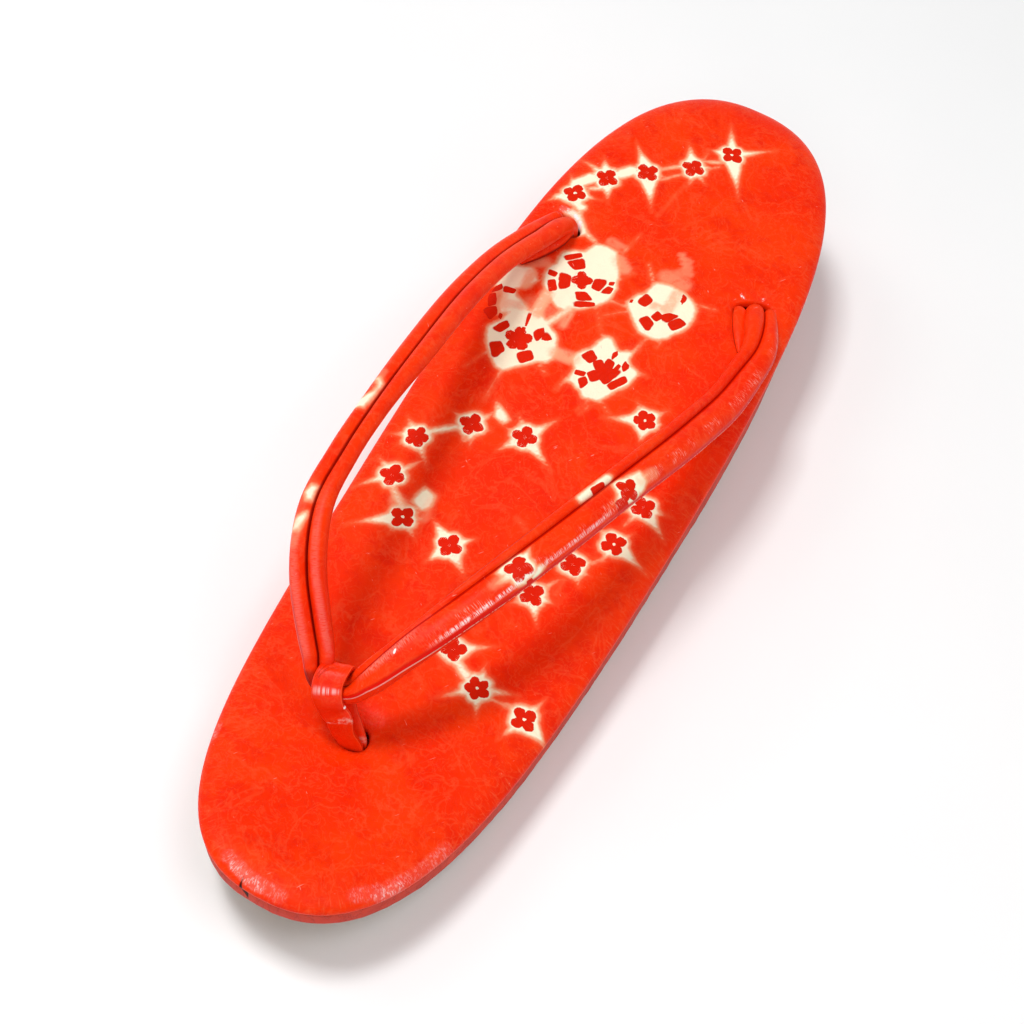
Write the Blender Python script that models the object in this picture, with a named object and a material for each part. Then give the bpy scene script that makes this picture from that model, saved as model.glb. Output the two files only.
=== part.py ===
"""Zori sandal with a wrapped wedge sole, a padded footbed and a V of double-roll straps.

The toe points along -Y and the heel along +Y. The sandal stands on Z = 0, with its origin
under the middle of its outline. Sizes and tables are in millimetres, and the meshes in metres.
A place along the sole is given by `y`, and a strap's height by how far it is above the footbed.
"""

import math
from collections import namedtuple

import bmesh
import bpy
import numpy as np
from mathutils import Matrix, Vector

MM = 0.001
GAP = 0.3  # between two pieces that meet

# ---- sole ----
LENGTH = 235.0
WIDTH = 69.05  # full width that the outline formula scales
OUTLINE_POINTS = 80
OUTLINE_ROUNDNESS = 0.851  # 1 is an ellipse, and less is fuller at toe and heel
OUTLINE_SHAPE = (1.0, 0.114, 0.276, -0.060)  # how the width changes from toe to heel
FOOTBED_CURVE = (22.95, 5.25, 35.0, 36.7)  # Bezier heights of the footbed, toe to heel
COVER_THICK = 4.0
OUTSOLE_THICK = 2.0
TOE_LIFT = 11.0  # toe spring under the tip
FOREFOOT_FLAT = (-50.5, -19.5)  # from y, to y
HEEL_FLAT_START = 32.5
ARCH_RISE = 1.2

# One row for each ring round the edge of a piece, from its top lid to its bottom lid.
Ring = namedtuple("Ring", "inset drop")
COVER_RINGS = (  # drop below the footbed
    Ring(9.0, 0.0),
    Ring(6.0, 0.2),
    Ring(3.6, 0.6),
    Ring(1.9, 1.1),
    Ring(0.8, 1.7),
    Ring(0.2, 2.4),
    Ring(0.0, 3.0),
    Ring(0.2, 3.6),
    Ring(1.0, COVER_THICK),
)
WALL_TOP_RINGS = (  # drop below the top of the wedge
    Ring(1.6, 0.0),
    Ring(0.9, 0.3),
    Ring(0.7, 0.9),
)
WALL_FOOT_RINGS = (  # drop is negative: a rise above the underside of the wedge
    Ring(1.0, -1.8),
    Ring(1.4, -0.7),
    Ring(2.0, -0.2),
    Ring(2.9, 0.0),
)
OUTSOLE_RINGS = (  # drop below the top of the outsole
    Ring(2.1, 0.0),
    Ring(2.0, 0.3),
    Ring(2.0, 1.6),
    Ring(2.4, OUTSOLE_THICK),
)

# ---- holes in the footbed ----
# `turn` is the angle of the hole's long axis from +X. `depth` is below the footbed.
Hole = namedtuple("Hole", "x y long short turn depth")
THONG_HOLE = Hole(-0.3, -80.2, 6.8, 5.6, 12.0, 7.5)
LEFT_HOLE = Hole(-23.6, 56.1, 9.8, 8.0, -9.0, 10.5)
RIGHT_HOLE = Hole(25.2, 55.6, 9.8, 8.0, 20.0, 10.5)
HOLE_SIDES = 24
CUT_ABOVE = 8.0

# ---- straps ----
# Each row is a place on the strap's middle line. `height` is above the footbed, `tilt` is how many
# degrees the outer edge hangs down, and `inner` is the inner roll's share of the width.
Station = namedtuple("Station", "x y height width thick tilt inner")
LEFT_STRAP = (
    Station(-24.2, 53.8, 2.2, 8.2, 4.4, 12, 0.60),
    Station(-26.4, 43.0, 7.0, 8.8, 4.6, 17, 0.56),
    Station(-28.5, 31.8, 11.5, 8.8, 4.6, 22, 0.52),
    Station(-29.3, 15.5, 18.0, 8.8, 4.6, 25, 0.52),
    Station(-28.4, -12.4, 27.0, 8.4, 4.6, 25, 0.52),
    Station(-27.1, -31.6, 31.5, 8.0, 4.6, 25, 0.52),
    Station(-26.4, -43.9, 33.0, 7.6, 4.6, 24, 0.52),
    Station(-24.9, -57.3, 32.0, 7.4, 4.6, 22, 0.51),
    Station(-22.4, -63.9, 30.0, 7.2, 4.6, 20, 0.50),
    Station(-19.9, -68.0, 26.2, 7.2, 4.6, 16, 0.50),
    Station(-16.5, -71.9, 21.6, 7.0, 4.7, 12, 0.50),
    Station(-12.8, -75.6, 16.4, 6.4, 4.8, 6, 0.50),
    Station(-9.9, -78.4, 12.4, 5.0, 5.0, 2, 0.48),
)
JOINT = Station(-7.2, -79.6, 11.5, 4.8, 5.2, 0, 0.45)
RIGHT_STRAP = (
    Station(-4.3, -79.0, 12.2, 5.4, 5.2, 2, 0.38),
    Station(-1.6, -77.0, 15.6, 7.7, 5.4, 6, 0.26),
    Station(1.9, -70.9, 19.6, 7.8, 4.7, 10, 0.14),
    Station(8.1, -57.0, 24.6, 8.3, 4.6, 15, 0.19),
    Station(14.4, -39.3, 26.0, 8.4, 4.6, 18, 0.25),
    Station(21.0, -15.7, 22.0, 8.5, 4.6, 20, 0.27),
    Station(27.2, 10.1, 14.0, 8.8, 4.6, 18, 0.27),
    Station(29.7, 24.0, 9.3, 8.6, 4.6, 15, 0.27),
    Station(30.2, 33.5, 6.8, 8.4, 4.6, 10, 0.33),
    Station(29.7, 43.0, 4.8, 9.0, 4.6, 6, 0.45),
    Station(26.6, 52.4, 2.4, 8.8, 4.4, 2, 0.62),
)
STRAP_END_WIDTH = 7.6
STRAP_END_THICK = 4.2
STRAP_BEND_RADIUS = 5.0
STRAP_END_DEPTH = 9.0
STRAP_END_LEAN = 0.3  # a strap's end leans back by this much from its foot to its bend
BEND_SHARES = (0.0, 0.33, 0.67)  # places along the bend that get a row
STRAP_STEPS = 88
ROLL_ROUND = 1.15  # a roll's greatest height over its half width
GROOVE_SHARE = 0.14  # height of the groove's floor over the strap's thickness
LOBE_STEPS = 6
UNDER_STEPS = 9

# ---- toe loop ----
# `out` is the distance in front of the loop's middle line, `side` is how far towards +X of it, and
# `height` is above the footbed.
Fold = namedtuple("Fold", "out side height width")
TOE_LOOP = (
    Fold(0.95, 0.0, -6.5, 4.2),
    Fold(0.95, 0.0, 0.0, 4.2),
    Fold(1.4, 0.9, 4.0, 4.6),
    Fold(2.9, 1.8, 8.0, 5.2),
    Fold(4.1, 1.6, 11.5, 5.6),
    Fold(3.9, 1.0, 14.6, 6.6),
    Fold(2.1, 0.4, 16.6, 7.4),
    Fold(-0.4, 0.5, 17.1, 6.8),
    Fold(-3.3, 0.9, 16.6, 4.6),
    Fold(-5.5, 1.0, 14.8, 3.6),
    Fold(-5.9, 0.7, 11.8, 3.6),
    Fold(-5.0, 0.5, 8.6, 3.6),
    Fold(-3.0, 0.3, 5.8, 3.8),
    Fold(-1.4, 0.1, 3.0, 4.1),
    Fold(-0.95, 0.0, 0.0, 4.2),
    Fold(-0.95, 0.0, -6.5, 4.2),
)
LOOP_FACING = 12.0  # degrees that the loop's front is turned from -Y towards +X
LOOP_THICK = 1.5
LOOP_EDGE = (0.5, 0.8)  # powers that turn an ellipse into the band's flat section, across and through
LOOP_STEPS = 48
LOOP_SIDES = 12


# ---- forms ----
def half_width(y):
    """Half the outline's width at y."""
    c = 2 * y / LENGTH
    shape = sum(k * c**power for power, k in enumerate(OUTLINE_SHAPE))
    return WIDTH / 2 * max(1 - c * c, 0.0) ** (OUTLINE_ROUNDNESS / 2) * shape


def outline_ring(inset):
    """The outline moved inwards, as (x, y) points from the toe's tip round by +X."""
    points = []
    for i in range(OUTLINE_POINTS):
        turn = 2 * math.pi * i / OUTLINE_POINTS
        y = -LENGTH / 2 * math.cos(turn)
        points.append((math.copysign(half_width(y), math.sin(turn)), y))
    points[0] = (0.0, points[0][1])
    points[OUTLINE_POINTS // 2] = (0.0, points[OUTLINE_POINTS // 2][1])
    inner = []
    for i, (x, y) in enumerate(points):
        before, after = points[i - 1], points[(i + 1) % OUTLINE_POINTS]
        along = Vector((after[0] - before[0], after[1] - before[1])).normalized()
        inner.append((x - along.y * inset, y + along.x * inset))
    return inner


def footbed(y):
    """Height of the footbed along its middle line."""
    v = min(max(y / LENGTH + 0.5, 0.0), 1.0)
    weights = ((1 - v) ** 3, 3 * v * (1 - v) ** 2, 3 * v * v * (1 - v), v**3)
    return sum(w * height for w, height in zip(weights, FOOTBED_CURVE))


def underside(y):
    """Height of the outsole's underside: toe spring, forefoot flat, arch and heel flat."""
    if y < FOREFOOT_FLAT[0]:
        run = FOREFOOT_FLAT[0] + LENGTH / 2
        return TOE_LIFT * ((FOREFOOT_FLAT[0] - y) / run) ** 2
    if FOREFOOT_FLAT[1] < y < HEEL_FLAT_START:
        along = (y - FOREFOOT_FLAT[1]) / (HEEL_FLAT_START - FOREFOOT_FLAT[1])
        return ARCH_RISE * math.sin(math.pi * along) ** 2
    return 0.0


def cover_under(y):
    return footbed(y) - COVER_THICK


def wedge_top(y):
    return cover_under(y) - GAP


def wedge_under(y):
    return underside(y) + OUTSOLE_THICK + GAP


def outsole_top(y):
    return underside(y) + OUTSOLE_THICK


# ---- mesh helpers ----
def make_object(name, vertices, faces, material):
    mesh = bpy.data.meshes.new(name)
    mesh.from_pydata([Vector(v) * MM for v in vertices], [], faces)
    mesh.materials.append(material)
    work = bmesh.new()
    work.from_mesh(mesh)
    bmesh.ops.recalc_face_normals(work, faces=work.faces)
    work.to_mesh(mesh)
    work.free()
    mesh.shade_smooth()
    mesh.set_sharp_from_angle(angle=math.radians(40))
    made = bpy.data.objects.new(name, mesh)
    bpy.context.scene.collection.objects.link(made)
    return made


def make_material(name, colour, roughness, coat=0.0):
    material = bpy.data.materials.new(name)
    material.use_nodes = True
    shader = material.node_tree.nodes["Principled BSDF"]
    shader.inputs["Base Color"].default_value = (*colour, 1.0)
    shader.inputs["Roughness"].default_value = roughness
    shader.inputs["Metallic"].default_value = 0.0
    shader.inputs["Coat Weight"].default_value = coat
    material.diffuse_color = (*colour, 1.0)
    return material


def stacked_rings(name, levels, material):
    """A closed piece from rings round the outline. A level is (inset, height function of y)."""
    vertices, faces = [], []
    for inset, height in levels:
        vertices += [(x, y, height(y)) for x, y in outline_ring(inset)]
    count = OUTLINE_POINTS
    for level in range(len(levels) - 1):
        for i in range(count):
            j = (i + 1) % count
            above, below = level * count, (level + 1) * count
            faces.append((above + i, above + j, below + j, below + i))
    for first in (0, (len(levels) - 1) * count):
        for i in range(count // 2):
            row = (i, i + 1, count - i - 1, (count - i) % count)
            faces.append([first + k for k in dict.fromkeys(row)])
    return make_object(name, vertices, faces, material)


def lowered(height, drop):
    return lambda y: height(y) - drop


def swept(name, sections, material):
    """A closed piece from a list of equal rings of points, with a fan over each end."""
    count = len(sections[0])
    vertices = [point for section in sections for point in section]
    faces = []
    for k in range(len(sections) - 1):
        for i in range(count):
            j = (i + 1) % count
            faces.append((k * count + i, k * count + j, (k + 1) * count + j, (k + 1) * count + i))
    for section, first in ((sections[0], 0), (sections[-1], (len(sections) - 1) * count)):
        middle = len(vertices)
        vertices.append(sum((Vector(p) for p in section), Vector()) / count)
        faces += [(first + i, first + (i + 1) % count, middle) for i in range(count)]
    return make_object(name, vertices, faces, material)


def smooth_rows(rows, steps):
    """`steps` + 1 rows on a smooth curve through the given ones, evenly spread along it."""
    knots = np.array(rows, float)
    spans = np.linalg.norm(np.diff(knots[:, :3], axis=0), axis=1)
    at = np.concatenate([[0.0], np.cumsum(spans)])
    slopes = np.gradient(knots, at, axis=0)
    fine = []
    for s in np.linspace(0.0, at[-1], steps + 1):
        k = min(int(np.searchsorted(at, s, side="right")) - 1, len(at) - 2)
        span = at[k + 1] - at[k]
        v = (s - at[k]) / span
        fine.append(
            (1 + 2 * v) * (1 - v) ** 2 * knots[k]
            + v * (1 - v) ** 2 * span * slopes[k]
            + v * v * (3 - 2 * v) * knots[k + 1]
            + v * v * (v - 1) * span * slopes[k + 1]
        )
    return np.array(fine)


def cut_hole(target, hole):
    """Cuts an upright oval hole from above the footbed down to the hole's depth."""
    height = hole.depth + CUT_ABOVE
    mesh = bpy.data.meshes.new("hole_cutter")
    work = bmesh.new()
    bmesh.ops.create_cone(
        work,
        cap_ends=True,
        segments=HOLE_SIDES,
        radius1=0.5 * MM,
        radius2=0.5 * MM,
        depth=height * MM,
    )
    bmesh.ops.scale(work, vec=(hole.long, hole.short, 1.0), verts=work.verts)
    bmesh.ops.rotate(work, matrix=Matrix.Rotation(math.radians(hole.turn), 3, "Z"), verts=work.verts)
    work.to_mesh(mesh)
    work.free()
    cutter = bpy.data.objects.new("hole_cutter", mesh)
    cutter.location = Vector((hole.x, hole.y, footbed(hole.y) + CUT_ABOVE - height / 2)) * MM
    cutter.hide_render = True
    cutter.display_type = "WIRE"
    bpy.context.scene.collection.objects.link(cutter)
    boolean = target.modifiers.new("hole", "BOOLEAN")
    boolean.object = cutter
    boolean.operation = "DIFFERENCE"
    boolean.solver = "EXACT"


# ---- pieces ----
def build_outsole(material):
    levels = [(ring.inset, lowered(outsole_top, ring.drop)) for ring in OUTSOLE_RINGS]
    return stacked_rings("outsole", levels, material)


def build_wedge_sole(material):
    levels = [(ring.inset, lowered(wedge_top, ring.drop)) for ring in WALL_TOP_RINGS]
    levels += [(ring.inset, lowered(wedge_under, ring.drop)) for ring in WALL_FOOT_RINGS]
    wedge = stacked_rings("wedge_sole", levels, material)
    for hole in (THONG_HOLE, LEFT_HOLE, RIGHT_HOLE):
        cut_hole(wedge, hole)
    return wedge


def build_top_cover(material):
    levels = [(ring.inset, lowered(footbed, ring.drop)) for ring in COVER_RINGS]
    cover = stacked_rings("top_cover", levels, material)
    for hole in (THONG_HOLE, LEFT_HOLE, RIGHT_HOLE):
        cut_hole(cover, hole)
    return cover


def rear_bend(hole, first, following):
    """Rows from the bottom of a strap's well up the bend to its first station."""
    run = Vector((following.x - first.x, following.y - first.y))
    away = run.normalized()
    turn = math.pi / 2 - math.atan2(following.height - first.height, run.length)
    upright = Vector((first.x, first.y)) - away * STRAP_BEND_RADIUS * (1 - math.cos(turn))
    low = footbed(hole.y) + first.height - STRAP_BEND_RADIUS * math.sin(turn)
    bottom = upright - away * STRAP_END_LEAN
    end = (STRAP_END_WIDTH, STRAP_END_THICK, 0.0, first.inner)
    rows = [(bottom.x, bottom.y, footbed(hole.y) - STRAP_END_DEPTH, *end)]
    for share in BEND_SHARES:
        angle = turn * share
        place = upright + away * STRAP_BEND_RADIUS * (1 - math.cos(angle))
        rows.append((place.x, place.y, low + STRAP_BEND_RADIUS * math.sin(angle), *end))
    return rows


def free_rows(stations):
    return [(s.x, s.y, footbed(s.y) + s.height, s.width, s.thick, s.tilt, s.inner) for s in stations]


def strap_section(width, thick, inner):
    """(across, up) points of the double roll: across runs from the outer edge to the inner one."""
    lobes = ((-width / 2, (1 - inner) * width), (width / 2 - inner * width, inner * width))
    points = []
    for number, (start, span) in enumerate(lobes):
        radius = span / 2
        height = min(thick / 2, ROLL_ROUND * radius)
        for i in range(LOBE_STEPS):
            angle = math.pi * (1 - (i + number) / LOBE_STEPS)
            points.append((start + radius * (1 + math.cos(angle)), height * math.sin(angle)))
        if number == 0:
            points.append((start + span, GROOVE_SHARE * thick))
    for i in range(1, UNDER_STEPS + 1):
        angle = -math.pi * i / (UNDER_STEPS + 1)
        points.append((width / 2 * math.cos(angle), thick / 2 * math.sin(angle)))
    return points


def build_straps(material):
    left = rear_bend(LEFT_HOLE, LEFT_STRAP[0], LEFT_STRAP[1]) + free_rows(LEFT_STRAP)
    right = rear_bend(RIGHT_HOLE, RIGHT_STRAP[-1], RIGHT_STRAP[-2]) + free_rows(RIGHT_STRAP[::-1])
    rows = smooth_rows(left + free_rows([JOINT]) + right[::-1], STRAP_STEPS)
    path = rows[:, :3]
    along = np.gradient(path, axis=0)
    sections = []
    for place, direction, (width, thick, tilt, inner) in zip(path, along, rows[:, 3:]):
        direction = Vector(direction).normalized()
        across = Vector((-direction.y, direction.x, 0)).normalized()
        across = Matrix.Rotation(math.radians(tilt), 3, direction) @ across
        up = direction.cross(across)
        section = strap_section(width, thick, inner)
        sections.append([Vector(place) + across * a + up * b for a, b in section])
    return swept("straps", sections, material)


def loop_lean(height):
    """How far the loop has leant towards the straps' joint: 0 at the footbed and 1 at the joint."""
    return min(max(height / JOINT.height, 0.0), 1.0) ** 2


def build_toe_loop(material):
    front = Matrix.Rotation(math.radians(LOOP_FACING), 3, "Z") @ Vector((0, -1, 0))
    across = Vector((-front.y, front.x, 0))
    base = Vector((THONG_HOLE.x, THONG_HOLE.y, 0))
    lean = Vector((JOINT.x, JOINT.y, 0)) - base
    rows = []
    for fold in TOE_LOOP:
        place = base + lean * loop_lean(fold.height) + front * fold.out + across * fold.side
        rows.append((*place.xy, footbed(base.y) + fold.height, fold.width))
    rows = smooth_rows(rows, LOOP_STEPS)
    along = np.gradient(rows[:, :3], axis=0)
    sections = []
    for (x, y, z, width), direction in zip(rows, along):
        direction = Vector(direction)
        side = (across - direction * across.dot(direction) / direction.length_squared).normalized()
        out = side.cross(direction).normalized()
        section = []
        for i in range(LOOP_SIDES):
            angle = 2 * math.pi * (i + 0.5) / LOOP_SIDES
            a, b = math.cos(angle), math.sin(angle)
            wide = math.copysign(abs(a) ** LOOP_EDGE[0], a) * width / 2
            deep = math.copysign(abs(b) ** LOOP_EDGE[1], b) * LOOP_THICK / 2
            section.append(Vector((x, y, z)) + side * wide + out * deep)
        sections.append(section)
    return swept("toe_loop", sections, material)


def main():
    for old in list(bpy.data.objects):
        bpy.data.objects.remove(old)
    build_outsole(make_material("tan_leather", (0.45, 0.27, 0.14), 0.7))
    build_wedge_sole(make_material("matte_red_leather", (0.55, 0.06, 0.035), 0.6))
    glossy = make_material("glossy_red_leather", (0.80, 0.075, 0.02), 0.3, coat=0.4)
    build_top_cover(glossy)
    build_straps(glossy)
    build_toe_loop(glossy)


main()
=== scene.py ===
"""Looks for the zori sandal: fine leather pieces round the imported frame, a pale floor, soft light
and a camera. Sizes and tables are in millimetres in the part's own frame: the toe points along -Y,
the floor is Z = 0 and the origin is under the middle of the sole.
"""

import math
from collections import namedtuple

import bmesh
import bpy
import numpy as np
from mathutils import Matrix, Vector, noise
from mathutils.kdtree import KDTree


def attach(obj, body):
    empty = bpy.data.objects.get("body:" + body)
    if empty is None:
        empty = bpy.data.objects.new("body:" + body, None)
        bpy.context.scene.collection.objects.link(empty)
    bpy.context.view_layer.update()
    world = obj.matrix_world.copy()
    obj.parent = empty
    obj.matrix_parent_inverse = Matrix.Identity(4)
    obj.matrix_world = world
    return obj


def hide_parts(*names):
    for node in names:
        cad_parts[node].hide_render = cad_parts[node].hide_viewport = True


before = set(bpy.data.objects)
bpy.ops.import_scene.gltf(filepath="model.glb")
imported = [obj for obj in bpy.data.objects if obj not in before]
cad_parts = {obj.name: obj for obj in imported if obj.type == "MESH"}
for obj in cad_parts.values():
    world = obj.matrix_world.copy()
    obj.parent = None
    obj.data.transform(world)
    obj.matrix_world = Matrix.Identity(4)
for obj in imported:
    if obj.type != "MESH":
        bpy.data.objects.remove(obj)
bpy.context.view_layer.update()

MM = 0.001


def rows_of(kind, *rows):
    """The rows of a table as named tuples."""
    return tuple(kind(*row) for row in rows)


# ---- sole ----
LENGTH = 235.0
WIDTH = 69.05  # full width that the outline formula scales
OUTLINE_ROUNDNESS = 0.851  # 1 is an ellipse, and less is fuller at toe and heel
OUTLINE_SHAPE = (1.0, 0.114, 0.276, -0.060)  # how the width changes from toe to heel
FOOTBED_CURVE = (22.95, 5.25, 35.0, 36.7)  # Bezier heights of the footbed, toe to heel
COVER_THICK = 4.0
EDGE_ROUND = 9.0  # how far in from the outline the footbed starts to fall away
EDGE_DROP = 3.0  # how far below the footbed the cover is widest
OUTSOLE_THICK = 2.0
GAP = 0.3
TOE_LIFT = 11.0
FOREFOOT_FLAT = (-50.5, -19.5)  # from y, to y
HEEL_FLAT_START = 32.5
ARCH_RISE = 1.2

# ---- holes in the footbed ----
Hole = namedtuple("Hole", "x y long short turn depth lip")
THONG_HOLE = Hole(-1.7, -79.1, 5.8, 5.8, 12.0, 7.5, 1.1)
LEFT_HOLE = Hole(-24.7, 56.9, 8.0, 5.0, -8.0, 10.5, 0.5)
RIGHT_HOLE = Hole(24.3, 56.9, 9.2, 5.1, 22.0, 10.5, 0.5)
HOLES = (THONG_HOLE, LEFT_HOLE, RIGHT_HOLE)
HOLE_SQUARE = 2.3  # 2 is an ellipse, and more is squarer
RIM_POINTS = 72
RIM_ROUND = 0.9  # radius of the leather where it turns down into a hole

# ---- straps ----
Station = namedtuple("Station", "x y height width thick tilt inner")
LEFT_STRAP = rows_of(
    Station,
    (-25.3, 53.8, 2.2, 7.8, 4.4, 12, 0.6),
    (-27.2, 43, 7, 8.4, 4.6, 17, 0.56),
    (-29, 31.8, 11.5, 8.3, 4.6, 22, 0.52),
    (-29.6, 15.5, 18, 8.4, 4.6, 25, 0.52),
    (-28.6, -12.4, 27, 8, 4.6, 25, 0.5),
    (-27.8, -31.6, 31.5, 6.6, 4.6, 25, 0.46),
    (-26.9, -43.9, 33, 6.5, 4.6, 24, 0.45),
    (-25.1, -57.3, 32, 7, 4.6, 22, 0.49),
    (-22.4, -63.9, 30, 7.2, 4.6, 20, 0.5),
    (-19.9, -68, 26.2, 7.2, 4.6, 16, 0.5),
    (-16.5, -71.9, 21.6, 7, 4.7, 12, 0.5),
    (-12.8, -75.6, 16.4, 6.4, 4.8, 6, 0.5),
    (-9.9, -78.4, 12.4, 5, 5, 2, 0.48),
)
JOINT = Station(-7.2, -78.3, 11.5, 4.6, 4.6, 0, 0.45)
RIGHT_STRAP = rows_of(
    Station,
    (-4.6, -77.5, 12.2, 5.2, 4.6, 2, 0.38),
    (-2.2, -75.6, 15.4, 6.4, 4.6, 6, 0.26),
    (1.4, -70.2, 19.6, 6.8, 4.6, 10, 0.14),
    (7.9, -56.8, 24.6, 7.9, 4.6, 15, 0.19),
    (14.4, -39.3, 26, 8.4, 4.6, 18, 0.25),
    (21, -15.7, 22, 8.5, 4.6, 20, 0.27),
    (27.2, 10.1, 14, 8.8, 4.6, 18, 0.27),
    (29.7, 24, 9.3, 8.6, 4.6, 15, 0.27),
    (30.2, 33.5, 6.8, 8.4, 4.6, 10, 0.33),
    (30.2, 43, 4.8, 8, 4.6, 6, 0.42),
    (26.9, 53, 2.4, 7.4, 4.4, 2, 0.6),
)
STRAP_END_WIDTH = 7.0
STRAP_END_THICK = 4.2
STRAP_BEND_RADIUS = 5.0
STRAP_END_DEPTH = 9.0
STRAP_END_LEAN = 0.3
BEND_SHARES = (0.0, 0.33, 0.67)
STRAP_STEPS = 880
Tuck = namedtuple("Tuck", "x y height width thick")
LEFT_TUCK = rows_of(
    Tuck,
    (-28.2, 40.4, 0.9, 0.8, 1),
    (-26.7, 43, 1.3, 2.2, 2.2),
    (-24.7, 46.9, 1.6, 3.2, 2.8),
    (-23.2, 50.3, 1.7, 3.2, 2.8),
    (-22.7, 53.4, 1, 2.6, 2.4),
    (-23, 56, -3, 2.4, 2.2),
)
RIGHT_TUCK = rows_of(
    Tuck,
    (26, 43.6, 0.9, 0.8, 1),
    (24.9, 46.4, 1.3, 2.8, 1.6),
    (23.6, 49.4, 1.4, 3.7, 1.9),
    (22.3, 52, 1.3, 3.4, 2),
    (21.4, 54.4, 0.6, 2.9, 2),
    (21.4, 56.4, -3, 2.8, 2),
)
TUCK_STEPS = 90
TUCK_SIDES = 24
ROLL_ROUND = 1.15  # a roll's greatest height over its half width
GROOVE_SHARE = 0.17  # height of the groove's floor over the strap's thickness
GROOVE_SINK = 0.6  # how low the groove's own line lies, as a share of its floor
LOBE_STEPS = 20
UNDER_STEPS = 17
ROLL_SHARP = 75.0  # degrees from which an edge between faces is kept sharp
ROLL_PLACES = (0, 1, 2, 4)  # outer line, groove, inner line and back below to the outer line
CAP_ROLL, TUCK_ROLL = 3, 5
UNMARKED_GIRTH = 9.0  # off the strap's chart

# ---- toe loop ----
Fold = namedtuple("Fold", "x y height width facing")
TOE_LOOP = rows_of(
    Fold,
    (-1.3, -81.1, -6.5, 4.6, 16),
    (-1.4, -81.1, -0.5, 4.7, 16),
    (-2.1, -81.4, 1.6, 4.8, 17),
    (-2.9, -81.8, 3.6, 4.8, 19),
    (-3.5, -82, 6.2, 4.9, 22),
    (-4.2, -81.8, 8.4, 5.2, 24),
    (-5.4, -81.8, 9.8, 5.5, 20),
    (-6.4, -81.7, 11.3, 5.7, 16),
    (-7.6, -80.9, 13.5, 5.9, 15),
    (-8.3, -79.2, 14.9, 5.9, 16),
    (-8.4, -77.2, 15.4, 5.8, 18),
    (-8.1, -75.4, 14.7, 5.4, 20),
    (-7.3, -74.6, 12.4, 4.6, 20),
    (-6.4, -75.4, 10, 3.9, 18),
    (-5.6, -76.8, 7.4, 3.8, 18),
    (-4.2, -78.1, 5.2, 4, 18),
    (-2.8, -78.9, 3.2, 4.3, 18),
    (-1.8, -79.4, 1.2, 4.5, 17),
    (-1.3, -79.6, -0.6, 4.6, 16),
    (-1.3, -79.6, -6.5, 4.6, 16),
)
LOOP_THICK = 1.35
LOOP_STEPS = 300
LOOP_SIDES = 48
LOOP_EDGE = (0.5, 0.8)


# ---- tie-dyed flowers ----
# A chart is laid flat. The footbed's is in x and y, and a strap's is in its run and its girth.
# A ray is (turn in degrees, length from the flower's middle, half width at its root).
# A stone is a red block with four corners, in turn.
Flower = namedtuple("Flower", "x y petals turn dot rays size", defaults=[1.0])
Stroke = namedtuple("Stroke", "start end start_half end_half level")
Haze = namedtuple("Haze", "line reach strength")
Chart = namedtuple("Chart", "flowers stones strokes patches hazes")

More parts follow.
